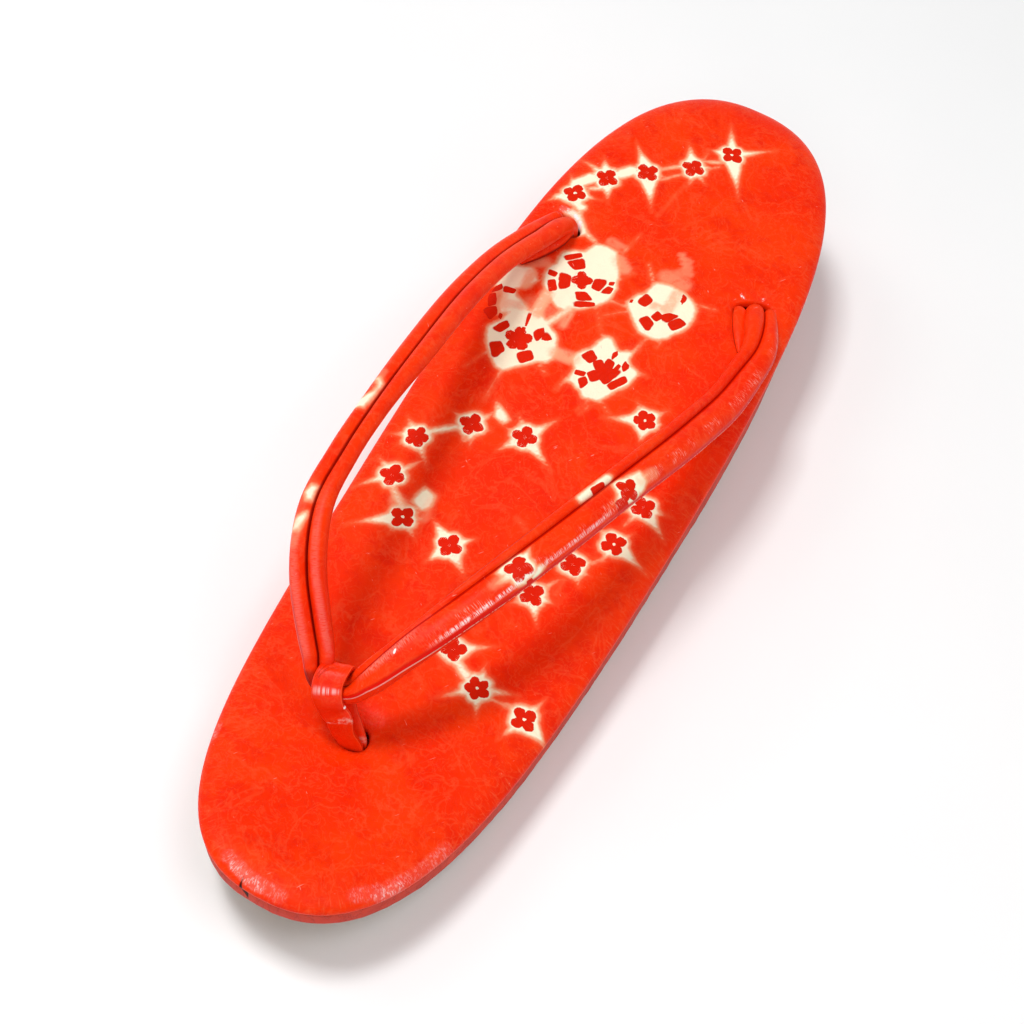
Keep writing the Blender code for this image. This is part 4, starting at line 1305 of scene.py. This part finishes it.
def red_ground(spot):
    """Cloudy red leather: deeper patches, warm patches and faint pale veins."""
    colour = spot.noise(*CLOUDS).ease(*CLOUD_RISE).over(RED, ORANGE_RED)
    colour = (spot.noise(*MIST).ease(*MIST_RISE) * MIST_SHARE).over(colour, DEEP_RED)
    vein = abs(spot.noise(*VEINS) - 0.5)
    colour = (vein.ease(*VEIN_HALF) * VEIN_SHARE).over(colour, BLUSH)
    fine = abs(spot.turned(FINE_VEIN_TURN).noise(*FINE_VEINS) - 0.5)
    return (fine.ease(*FINE_VEIN_HALF) * VEIN_SHARE).over(colour, BLUSH)


SCRATCHES = (  # (turn, stretch, noise, rise)
    (35, (1.0, 0.12, 1.0), (0.45, 1.0), (0.77, 0.83)),
    (-50, (1.0, 0.16, 1.0), (0.4, 1.0), (0.78, 0.84)),
)


def scratches(spot):
    """Sparse short pale scratches, which lie two ways."""
    first, second = (
        spot.turned(turn).stretched(*stretch).noise(*noise).ease(*rise)
        for turn, stretch, noise, rise in SCRATCHES
    )
    return first.most(second)


def pleats(graph, along, across, length, width):
    """Noise in fine lines that run across a strip: `width` apart and `length` long."""
    place = {0: graph.value(along) * (1 / width), 1: graph.value(across) * (1 / length)}
    return graph.node("CombineXYZ", {}, place).noise(1.0)


JOINT_SLIT_X, JOINT_SLIT_HEIGHT = -2.3, 18.4  # middle of the open slit by the toe
JOINT_SLIT_SHIFT = 0.7  # how far the wall's half of it lies from the cover's
JOINT_SLIT_HALF = (1.15, 0.7)
JOINT_SLIT_WIDE = (1.3, 1.0)
JOINT_SLIT_LEAN = 1.58
COVER_FOOT = (18.6, 18.9)  # heights between the wall and the cover at the toe
TOE_FRONT = (-110, -114)


def joint_slit(spot):
    """1 in the small open slit by the toe, where the ends of the wrapping leather meet."""
    x, y, z = spot.parts()
    middle = z.ease(*COVER_FOOT).between(JOINT_SLIT_X - JOINT_SLIT_SHIFT, JOINT_SLIT_X)
    slit = abs((x - middle) * JOINT_SLIT_LEAN + z - JOINT_SLIT_HEIGHT).ease(*JOINT_SLIT_HALF)
    return slit * x.near(middle, *JOINT_SLIT_WIDE) * y.ease(*TOE_FRONT)


EDGE_RIBS = (3.0, 0.45)  # their length and how far apart they are
EDGE_RIBS_RISE = (7.0, 0.5)  # distances from the outline
RIB_TINT, RIB_SHARE = (0.55, 0.75), 0.4
# Painted highlights where `shine` is set: a pink tint, broken streaks and full glints.
SHINE_LINES, SHINE_LINE_RISE = (0.8, 0.2), (0.46, 0.60)
SHINE_PATCHES, SHINE_PATCH_RISE = (1.0, 3.0), (0.40, 0.58)
SHINE_TINT, STREAK_SHARE = 0.3, 0.75
BRIGHTEST = (1.0, 1.4)  # strengths from which shine has no streaks
COVER_SCRATCHES = 0.45
HOLE_SHADE_DEPTHS = (1.7, 2.7)  # where painted shade turns the leather dark inside a hole
COVER_GRAIN, COVER_SOFT = (0.35, 3.0, 0.6), (7.0, 3.0)
CRACKLE, CRACKLE_HALF = (1.8, 3.0, 0.6, 2.0), (0.05, 0.0)
GRAIN_HIGH, CRACKLE_HIGH, SOFT_HIGH, RIB_HIGH, SLIT_DEEP = 0.3, 0.35, 1.2, 0.8, 6.0
COVER_ROUGH, COVER_SOFT_ROUGH, COVER_GRAIN_ROUGH = 0.24, 0.10, 0.06
COVER_BUMP, STRAP_BUMP, LOOP_BUMP, WALL_BUMP = 0.06, 0.07, 0.07, 0.06  # millimetres


def cover_leather():
    """Glossy red leather with tie-dyed flowers and fine ribs at its edge, painted highlights on its
    round edge and at the rear holes, and painted shade inside the holes.
    """
    material, graph = start_material("cover_red", Specular_IOR_Level=0.08)
    spot = graph.places()
    colour = dyed(graph, spot, red_ground(spot))
    rim = graph.value("edge").ease(*EDGE_RIBS_RISE)
    ribs = pleats(graph, "around", "edge", *EDGE_RIBS)
    colour = (rim * ribs.ease(*RIB_TINT) * RIB_SHARE).over(colour, BLUSH)
    shine, lines = graph.value("shine"), pleats(graph, "around", "edge", *SHINE_LINES)
    patches = spot.noise(*SHINE_PATCHES).ease(*SHINE_PATCH_RISE)
    streaks = lines.ease(*SHINE_LINE_RISE) * patches
    # Painted highlights on the toe's round edge and at the rear holes.
    colour = (shine * SHINE_TINT).over(colour, PINK)
    colour = (shine.least(1.0) * streaks * STREAK_SHARE).over(colour, GLINT)
    colour = shine.ease(*BRIGHTEST).over(colour, GLINT)
    colour = (scratches(spot) * COVER_SCRATCHES).over(colour, PALE)
    # Painted shade deep inside the holes.
    colour = graph.value("sunk").ease(*HOLE_SHADE_DEPTHS).over(colour, HOLE_SHADE_BLACK)
    slit = joint_slit(spot)
    colour = slit.over(colour, SLIT_BROWN)
    grain, soft = spot.noise(*COVER_GRAIN), spot.noise(*COVER_SOFT)
    crackle = abs(spot.noise(*CRACKLE) - 0.5).ease(*CRACKLE_HALF)
    height = grain * GRAIN_HIGH + crackle * CRACKLE_HIGH + soft * SOFT_HIGH
    height = height + ribs * rim * RIB_HIGH - slit * SLIT_DEEP
    rough = COVER_ROUGH + soft * COVER_SOFT_ROUGH + grain * COVER_GRAIN_ROUGH
    return finish_material(material, colour, rough, height, COVER_BUMP)


# Places on the straps. `run` goes from the left well to the right one, with the loop at about 159.
# `girth` is measured from the groove, and `roll` is 0 on the outer line, 1 in the groove and 2 on
# the inner line. A line or a sheen is (middle, reach, core), a rise is (start, full), and runs
# are (start, full, last, end).
RIGHT_RISE = (158, 168)
LEFT_GROOVE, RIGHT_GROOVE = (0.96, 0.15), (1.0, 0.11)  # (roll, reach) of the painted shade in the groove
GROOVE_CORE = 0.04
# Painted shade along the right strap's inner roll where it turns under.
INNER_EDGE_SHADE_ROLLS, INNER_EDGE_SHADE_RUNS = (1.72, 1.84, 2.1, 2.2), (165, 170, 210, 222)
LIP_RISE = (135, 145)
LIP_ROLL, LIP_ROLL_BY_LOOP, LIP_ROLL_REAR = 0.12, 0.24, 0.055
LIP_LEAVES_LOOP, LIP_SINKS = (166, 186), (190, 207)
LIP_SHADE_BAND = (-0.16, -0.08, -0.015, 0.0)  # rolls over the lip where the sunk band has painted shade
LIP_SHADE_BAND_SHARE, LIP_FOOT, LIP_FOOT_SHARE = 0.95, (0.02, 0.05), 0.6
# Shares and widths of the painted highlight along the lip.
LIP_SHARE, BROKEN_LIP_SHARE, BROKEN_LIP = 0.85, 0.9, (0.40, 0.52)
LIP_HIGH, LIP_BAND_DEEP = 2.0, 1.5
LIP_MATT, LIP_MATT_SHARE = (0.0, 0.03), 0.3
LIP_WIDE, LIP_THIN, LIP_CORE = 0.030, 0.019, 0.008
LIP_THINS, LIP_BREAKS, LIP_PALES = (172, 186), (178, 190), (170, 184)
# Painted highlights on the straps: the crest line, its comb of strokes, the sheens and a glint.
CREST_LINE, CREST_RUNS, CREST_BRIGHT = (-5.6, 0.7, 0.15), (181, 190, 226, 231), (214, 198)
CREST_BREAKS, CREST_BREAK_RISE, CREST_STROKES = (1.6, 2.0), (0.22, 0.48), (0.40, 0.60)
CREST_SHARES = (0.55, 0.85)  # far back, and by the loop
COMB_LINE, COMB_RISE, COMB = (-4.7, 1.6, 0.6), (180, 190), (1.5, 0.18)
COMB_PATCHES, COMB_PATCH_RISE, COMB_STROKES, COMB_SHARE = (5.0, 2.0), (0.48, 0.6), (0.52, 0.64), 0.5
FRONT_STROKES, FRONT_SHARE, LEFT_STROKES, LEFT_SHARE = (0.35, 0.6), 0.35, (0.2, 0.6), 0.25
FRONT_SHEEN, FRONT_SHEEN_RUNS = (-1.6, 1.6, 0.2), (168, 172, 178, 186)
LEFT_SHEENS, LEFT_SHEEN_RUNS = ((-3.2, 1.4, 0.2), (2.6, 1.2, 0.2)), (116, 142, 152, 156)
GLINT_SPOT, GLINT_SPOT_HALF = (177.3, -2.2), (1.0, 0.75)  # (run, girth) of a painted glint
GLINT_SPOT_THIN, GLINT_SPOT_LONG = 5.0, 1.3  # how fast it fades across its slant and along it
# Painted shadow on the straps where the loop holds them: (middle, reach, core) along the run.
LOOP_HOLD_SHADOW = (159.3, 3.2, 1.9)
# Painted shade along the tucks' sides, where they meet the strap and the footbed.
TUCK_CONTACT_SHADE_ROLLS = (4.0, 4.9, 5.0, 5.5)
STRAP_RIBS = (3.0, 0.5)
STRAP_GRAIN, STRAP_SOFT = (0.4, 3.0, 0.6), (6.0, 3.0)
GROOVE_SHADE, INNER_EDGE_SHADE, HOLD_SHADE, TUCK_SHADE, STRAP_SCRATCHES = 0.9, 0.7, 0.7, 0.9, 0.6
STRAP_GRAIN_HIGH, STRAP_RIB_HIGH = 0.6, 0.7
STRAP_ROUGH, STRAP_SOFT_ROUGH, STRAP_GRAIN_ROUGH = 0.28, 0.10, 0.10


def strap_lip(colour, run, roll, ribs, is_right):
    """The painted highlight along the outer roll's lip, with painted shade in its sunk band over it.
    Gives the colour, the lip's relief and how rough the leather is below it."""
    lip_at = run.ease(*LIP_LEAVES_LOOP).between(LIP_ROLL_BY_LOOP, LIP_ROLL)
    lip_at = is_right.between(LIP_ROLL, lip_at)
    lip_at = run.ease(*LIP_SINKS).between(lip_at, LIP_ROLL_REAR)
    below, is_outer = lip_at - roll, run.ease(*LIP_RISE)
    # Painted shade in the sunk band over the lip.
    band = below.span(*LIP_SHADE_BAND) * is_outer
    colour = (band * LIP_SHADE_BAND_SHARE).over(colour, SHADE_BAND_RED)
    colour = (below.ease(*LIP_FOOT) * is_outer * LIP_FOOT_SHARE).over(colour, RED)
    wide = run.ease(*LIP_THINS).between(LIP_WIDE, LIP_THIN)
    # Painted highlight along the lip, broken farther along the strap.
    lip = below.near(0.0, wide, LIP_CORE) * is_outer
    broken = ribs.ease(*BROKEN_LIP) * BROKEN_LIP_SHARE
    lip = lip * run.ease(*LIP_BREAKS).between(LIP_SHARE, broken)
    colour = lip.over(colour, run.ease(*LIP_PALES).over(PINK, PALE))
    relief = lip * LIP_HIGH - band * LIP_BAND_DEEP
    return colour, relief, below.ease(*LIP_MATT) * is_outer * LIP_MATT_SHARE


def strap_painted_highlights(colour, graph, spot, run, girth):
    """Painted highlights: a broken line on the right strap's crest with fine strokes off it,
    sheens and a glint.
    """
    strokes = pleats(graph, "run", "girth", *COMB)
    broken = spot.noise(*CREST_BREAKS).ease(*CREST_BREAK_RISE)
    bright = run.ease(*CREST_BRIGHT).between(*CREST_SHARES)
    crest = girth.near(*CREST_LINE) * run.span(*CREST_RUNS)
    colour = (crest * strokes.ease(*CREST_STROKES) * broken * bright).over(colour, GLINT)
    patchy = spot.noise(*COMB_PATCHES).ease(*COMB_PATCH_RISE)
    comb = girth.near(*COMB_LINE) * run.ease(*COMB_RISE) * patchy
    colour = (comb * strokes.ease(*COMB_STROKES) * COMB_SHARE).over(colour, PALE)
    sheen = girth.near(*FRONT_SHEEN) * run.span(*FRONT_SHEEN_RUNS) * strokes.ease(*FRONT_STROKES)
    colour = (sheen * FRONT_SHARE).over(colour, PALE)
    outer, inner = (girth.near(*line) for line in LEFT_SHEENS)
    sheen = outer.most(inner) * run.span(*LEFT_SHEEN_RUNS) * strokes.ease(*LEFT_STROKES)
    colour = (sheen * LEFT_SHARE).over(colour, PINK)
    along, across = run - GLINT_SPOT[0], girth - GLINT_SPOT[1]
    away = (along - across) ** 2.0 * GLINT_SPOT_THIN + (along + across) ** 2.0 * GLINT_SPOT_LONG
    away = away**0.5
    return away.ease(*GLINT_SPOT_HALF).over(colour, GLINT)


def strap_leather():
    """The same leather on the straps, with painted shade in the groove, over the lip, along the inner
    roll's edge, where the loop holds them and beside the tucks, and painted highlights on the lip and
    crest.
    """
    material, graph = start_material("strap_red", Specular_IOR_Level=0.09)
    spot = graph.places()
    colour = dyed(graph, spot, red_ground(spot))
    run, girth, roll = (graph.value(name) for name in ("run", "girth", "roll"))
    is_right = run.ease(*RIGHT_RISE)
    ribs = pleats(graph, "run", "girth", *STRAP_RIBS)
    # Painted shade in the groove between the rolls.
    groove_at, reach = (is_right.between(*pair) for pair in zip(LEFT_GROOVE, RIGHT_GROOVE))
    groove = roll.near(groove_at, reach, GROOVE_CORE)
    colour = (groove * GROOVE_SHADE).over(colour, is_right.over(SHADE_DARK_RED, SHADE_RED))
    # Painted shade along the inner roll where it turns under.
    inner_edge_shade = roll.span(*INNER_EDGE_SHADE_ROLLS) * run.span(*INNER_EDGE_SHADE_RUNS)
    colour = (inner_edge_shade * INNER_EDGE_SHADE).over(colour, SHADE_RED)
    colour, relief, matt = strap_lip(colour, run, roll, ribs, is_right)
    # Painted highlights on the crests, painted sheens and a painted glint.
    colour = strap_painted_highlights(colour, graph, spot, run, girth)
    colour = (scratches(spot) * STRAP_SCRATCHES).over(colour, PALE)
    # Painted shadow where the loop holds the straps.
    colour = (run.near(*LOOP_HOLD_SHADOW) * HOLD_SHADE).over(colour, SHADE_DARK_RED)
    # Painted shade along the tucks' sides.
    colour = (roll.span(*TUCK_CONTACT_SHADE_ROLLS) * TUCK_SHADE).over(colour, SHADE_DARK_RED)
    grain, soft = spot.noise(*STRAP_GRAIN), spot.noise(*STRAP_SOFT)
    height = grain * STRAP_GRAIN_HIGH + ribs * STRAP_RIB_HIGH + soft + relief
    rough = STRAP_ROUGH + soft * STRAP_SOFT_ROUGH + grain * STRAP_GRAIN_ROUGH + matt
    return finish_material(material, colour, rough, height, STRAP_BUMP)


# Places on the loop. `run` goes from the foot of its front leg over the top to the foot of the
# other, and `side` is -1 on one edge and 1 on the other.
LOOP_SHADE_RUNS = (16.0, 17.2, 18.5, 20.5)
LOOP_PALE_LINE, LOOP_DARK_LINE = (0.88, 0.05, 0.01), (0.97, 0.04, 0.01)
PLEAT_HIGHLIGHT_RUN, PLEAT_HIGHLIGHT_SIDE, PLEATS = (22.3, 0.9, 0.1), (0.0, 0.85, 0.6), (30.0, 0.05)
CREASE_RUN, CREASE_SLANT = (15.2, 0.9, 0.1), 0.4
BACK_SHINE_RUN = (45.6, 1.4, 0.2)
FOLD_LINES, FOLD_SLANT = ((26.6, 0.45, 0.1), (28.2, 0.35, 0.1)), 6.0
FOLD_RUNS = (23.5, 24.5, 26.4, 27.2)
LOOP_GLINT, LOOP_GLINT_HALF, LOOP_GLINT_SQUEEZE = (17.9, 0.96), (0.45, 0.25), 2.5  # (run, side) of a painted glint
HATCH_RISE, CREASE_NOISE, CREASE_RISE = (0.40, 0.62), (0.8, 2.0), (0.36, 0.66)
BACK_NOISE, BACK_RISE = (0.7, 2.0), (0.38, 0.62)
LOOP_SHADE, PALE_LINE_SHARE, DARK_LINE_SHARE, HATCH_SHARE = 0.5, 0.6, 0.8, 0.5
CREASE_SHARE, BACK_SHARE, FOLD_SHADE = 0.7, 0.6, 0.35
LOOP_GRAIN, LOOP_SOFT = (0.4, 3.0, 0.6), (5.0, 2.0)
LOOP_GRAIN_HIGH, HATCH_HIGH, FOLD_DEEP = 0.6, 0.8, 1.5
LOOP_ROUGH, LOOP_SOFT_ROUGH = 0.24, 0.12


def loop_leather():
    """The loop's red leather: edge lines, pleats and folds, with painted shade in its hollows and painted
    highlights.
    """
    material, graph = start_material("loop_red", Specular_IOR_Level=0.18)
    spot = graph.places()
    run, side = graph.value("run"), graph.value("side")
    # Painted shade in the hollow just above the front leg's crease.
    colour = (run.span(*LOOP_SHADE_RUNS) * LOOP_SHADE).over(red_ground(spot), DEEP_RED)
    colour = (side.near(*LOOP_PALE_LINE) * PALE_LINE_SHARE).over(colour, BLUSH)
    colour = (side.near(*LOOP_DARK_LINE) * DARK_LINE_SHARE).over(colour, RIM_RED)
    hatch = pleats(graph, "side", "run", *PLEATS)
    # Painted highlight along the pleats on the front of the loop.
    shine = run.near(*PLEAT_HIGHLIGHT_RUN) * hatch.ease(*HATCH_RISE) * side.near(*PLEAT_HIGHLIGHT_SIDE)
    colour = (shine * HATCH_SHARE).over(colour, GLINT)
    # Painted highlight along the crease across the front leg.
    crease = (run + side * CREASE_SLANT).near(*CREASE_RUN)
    crease = crease * spot.noise(*CREASE_NOISE).ease(*CREASE_RISE)
    colour = (crease * CREASE_SHARE).over(colour, PALE)
    # Painted highlight on the back leg.
    blob = run.near(*BACK_SHINE_RUN) * spot.noise(*BACK_NOISE).ease(*BACK_RISE)
    colour = (blob * BACK_SHARE).over(colour, PALE)
    # The folds at the top are sunk, with painted shade in them.
    first, second = ((run - side * FOLD_SLANT).near(*line) for line in FOLD_LINES)
    folds = (first + second).least(1.0) * run.span(*FOLD_RUNS)
    colour = (folds * FOLD_SHADE).over(colour, RIM_RED)
    # Painted glint by the loop's crotch.
    away = ((run - LOOP_GLINT[0]) ** 2.0 + ((side - LOOP_GLINT[1]) * LOOP_GLINT_SQUEEZE) ** 2.0) ** 0.5
    colour = away.ease(*LOOP_GLINT_HALF).over(colour, GLINT)
    height = spot.noise(*LOOP_GRAIN) * LOOP_GRAIN_HIGH + hatch * HATCH_HIGH - folds * FOLD_DEEP
    rough = LOOP_ROUGH + spot.noise(*LOOP_SOFT) * LOOP_SOFT_ROUGH
    return finish_material(material, colour, rough, height, LOOP_BUMP)


WALL_MOTTLE, WALL_MOTTLE_RISE = (9.0, 4.0, 0.55), (0.3, 0.7)
WALL_MIST, WALL_MIST_RISE, WALL_MIST_SHARE = (2.4, 4.0, 0.6), (0.5, 0.75), 0.35
WRINKLES, WRINKLE_STRETCH, WRINKLE_HALF = (2.2, 3.0), (1.0, 1.0, 0.25), (0.03, 0.0)
WRINKLE_SHARE, WALL_SCRATCHES = 0.3, 0.3
WALL_GRAIN, WRINKLE_DEEP, WALL_MOTTLE_HIGH = (0.5, 3.0), 1.2, 2.0
WALL_ROUGH, WALL_MOTTLE_ROUGH, WALL_GRAIN_ROUGH = 0.42, 0.2, 0.1


def wall_leather():
    """Red leather drawn round the wedge, with faint upright wrinkles and the joint by the toe."""
    material, graph = start_material("matte_red_leather", Specular_IOR_Level=0.14)
    spot = graph.places()
    mottle, mist = spot.noise(*WALL_MOTTLE), spot.noise(*WALL_MIST)
    colour = mottle.ease(*WALL_MOTTLE_RISE).over(WALL_RED, WALL_PALE_RED)
    colour = (mist.ease(*WALL_MIST_RISE) * WALL_MIST_SHARE).over(colour, WALL_DEEP_RED)
    wrinkle = abs(spot.stretched(*WRINKLE_STRETCH).noise(*WRINKLES) - 0.5).ease(*WRINKLE_HALF)
    colour = (wrinkle * WRINKLE_SHARE).over(colour, WRINKLE_RED)
    colour = (scratches(spot) * WALL_SCRATCHES).over(colour, PALE)
    slit = joint_slit(spot)
    colour = slit.over(colour, SLIT_BROWN)
    grain = spot.noise(*WALL_GRAIN)
    height = grain - wrinkle * WRINKLE_DEEP + mottle * WALL_MOTTLE_HIGH - slit * SLIT_DEEP
    rough = WALL_ROUGH + mottle * WALL_MOTTLE_ROUGH + grain * WALL_GRAIN_ROUGH
    return finish_material(material, colour, rough, height, WALL_BUMP)


TAN_MOTTLE, TAN_MOTTLE_RISE = (5.0, 4.0, 0.55), (0.3, 0.7)
FIBRES, FIBRE_STRETCH, FIBRE_RISE, FIBRE_SHARE = (0.9, 3.0), (1.0, 0.12, 1.0), (0.5, 0.8), 0.4
PORES, PORE_RISE, PORE_SHARE = (0.5, 3.0), (0.62, 0.72), 0.5
FIBRE_HIGH, TAN_ROUGH, TAN_MOTTLE_ROUGH, TAN_BUMP = 0.8, 0.55, 0.25, 0.06


def tan_leather():
    """Tan sole leather: cloudy, with pores and long fibres."""
    material, graph = start_material("tan_leather", Specular_IOR_Level=0.25)
    spot = graph.places()
    mottle, pores = spot.noise(*TAN_MOTTLE), spot.noise(*PORES)
    colour = mottle.ease(*TAN_MOTTLE_RISE).over(TAN_BROWN, TAN)
    fibre = spot.stretched(*FIBRE_STRETCH).noise(*FIBRES)
    colour = (fibre.ease(*FIBRE_RISE) * FIBRE_SHARE).over(colour, PALE_TAN)
    colour = (pores.ease(*PORE_RISE) * PORE_SHARE).over(colour, PORE_BROWN)
    rough = TAN_ROUGH + mottle * TAN_MOTTLE_ROUGH
    return finish_material(material, colour, rough, pores + fibre * FIBRE_HIGH, TAN_BUMP)


build_top_cover(cover_leather())
build_wedge(wall_leather())
build_outsole(tan_leather())
build_straps(strap_leather())
build_toe_loop(loop_leather())


# ---- stage ----
FLOOR_REACH = 1.1  # metres
FLOOR_SIDES = 96
FLOOR_CLOUDS, FLOOR_GRAIN, FLOOR_BUMP = (60.0, 3.0), (2.0, 2.0), 0.02
FLOOR_ROUGH, FLOOR_ROUGH_CHANGE = 0.6, 0.2
FLOOR_GREY, FLOOR_WHITE = (0.95, 0.95, 0.95), (0.98, 0.98, 0.98)


def build_floor():
    """A pale round floor that the sandal stands on."""
    mesh = bpy.data.meshes.new("floor")
    work = bmesh.new()
    bmesh.ops.create_circle(work, cap_ends=True, segments=FLOOR_SIDES, radius=FLOOR_REACH)
    work.to_mesh(mesh)
    work.free()
    floor = bpy.data.objects.new("floor", mesh)
    bpy.context.scene.collection.objects.link(floor)
    material, graph = start_material("pale_floor")
    tint, grain = graph.places().noise(*FLOOR_CLOUDS), graph.places().noise(*FLOOR_GRAIN)
    rough = FLOOR_ROUGH + tint * FLOOR_ROUGH_CHANGE
    finish_material(material, tint.over(FLOOR_GREY, FLOOR_WHITE), rough, grain, FLOOR_BUMP)
    mesh.materials.append(material)


LOW_SKY, HIGH_SKY = (0.86, 0.86, 0.86), (0.22, 0.22, 0.22)
SKY_RISE = (0.05, 0.6)
SKY_STRENGTH = 0.95


def build_world():
    """Soft light from all round, brighter low down than overhead."""
    world = bpy.data.worlds.new("studio")
    bpy.context.scene.world = world
    world.use_nodes = True
    graph = Wire(world.node_tree)
    height = graph.node("TexCoord", {}, {}, "Generated").parts()[2]
    shade = height.ease(*SKY_RISE).over(LOW_SKY, HIGH_SKY)
    back = world.node_tree.nodes["Background"]
    world.node_tree.links.new(shade.socket, back.inputs["Color"])
    back.inputs["Strength"].default_value = SKY_STRENGTH


Lamp = namedtuple("Lamp", "name place size power")
LAMPS = (  # places and sizes in metres
    Lamp("key_box", (-0.32, -0.06, 1.00), 0.24, 5.6),
    Lamp("left_box", (-0.80, -0.05, 0.90), 0.35, 1.2),
    Lamp("right_box", (0.36, -0.10, 1.00), 0.5, 2.6),
    Lamp("front_box", (0.05, -0.80, 0.70), 0.40, 1.2),
)


def build_lamps():
    """Square lamps that face the middle of the floor."""
    for lamp in LAMPS:
        data = bpy.data.lights.new(lamp.name, "AREA")
        data.shape = "SQUARE"
        data.size = lamp.size
        data.energy = lamp.power
        made = bpy.data.objects.new(lamp.name, data)
        made.location = lamp.place
        made.rotation_euler = (-Vector(lamp.place)).to_track_quat("-Z", "Y").to_euler()
        bpy.context.scene.collection.objects.link(made)


CAMERA_PLACE = Vector((62.2, -220.5, 307.6)) * MM
CAMERA_AIM = Vector((0.85, -18.3, 22.0)) * MM
CAMERA_ROLL = 12.8  # degrees
CAMERA_LENS, SENSOR_WIDTH = 59.0, 36.0
CLIP_START = 0.01  # metres


def build_camera():
    """The view from above and beyond the toe, a little towards +X."""
    data = bpy.data.cameras.new("camera")
    data.lens = CAMERA_LENS
    data.sensor_width = SENSOR_WIDTH
    data.clip_start = CLIP_START
    camera = bpy.data.objects.new("camera", data)
    turn = (CAMERA_AIM - CAMERA_PLACE).to_track_quat("-Z", "Y").to_matrix()
    turn = turn @ Matrix.Rotation(math.radians(CAMERA_ROLL), 3, "Z")
    camera.matrix_world = Matrix.Translation(CAMERA_PLACE) @ turn.to_4x4()
    bpy.context.scene.collection.objects.link(camera)
    bpy.context.scene.camera = camera


build_floor()
build_world()
build_lamps()
build_camera()
bpy.context.scene.view_settings.view_transform = "Standard"
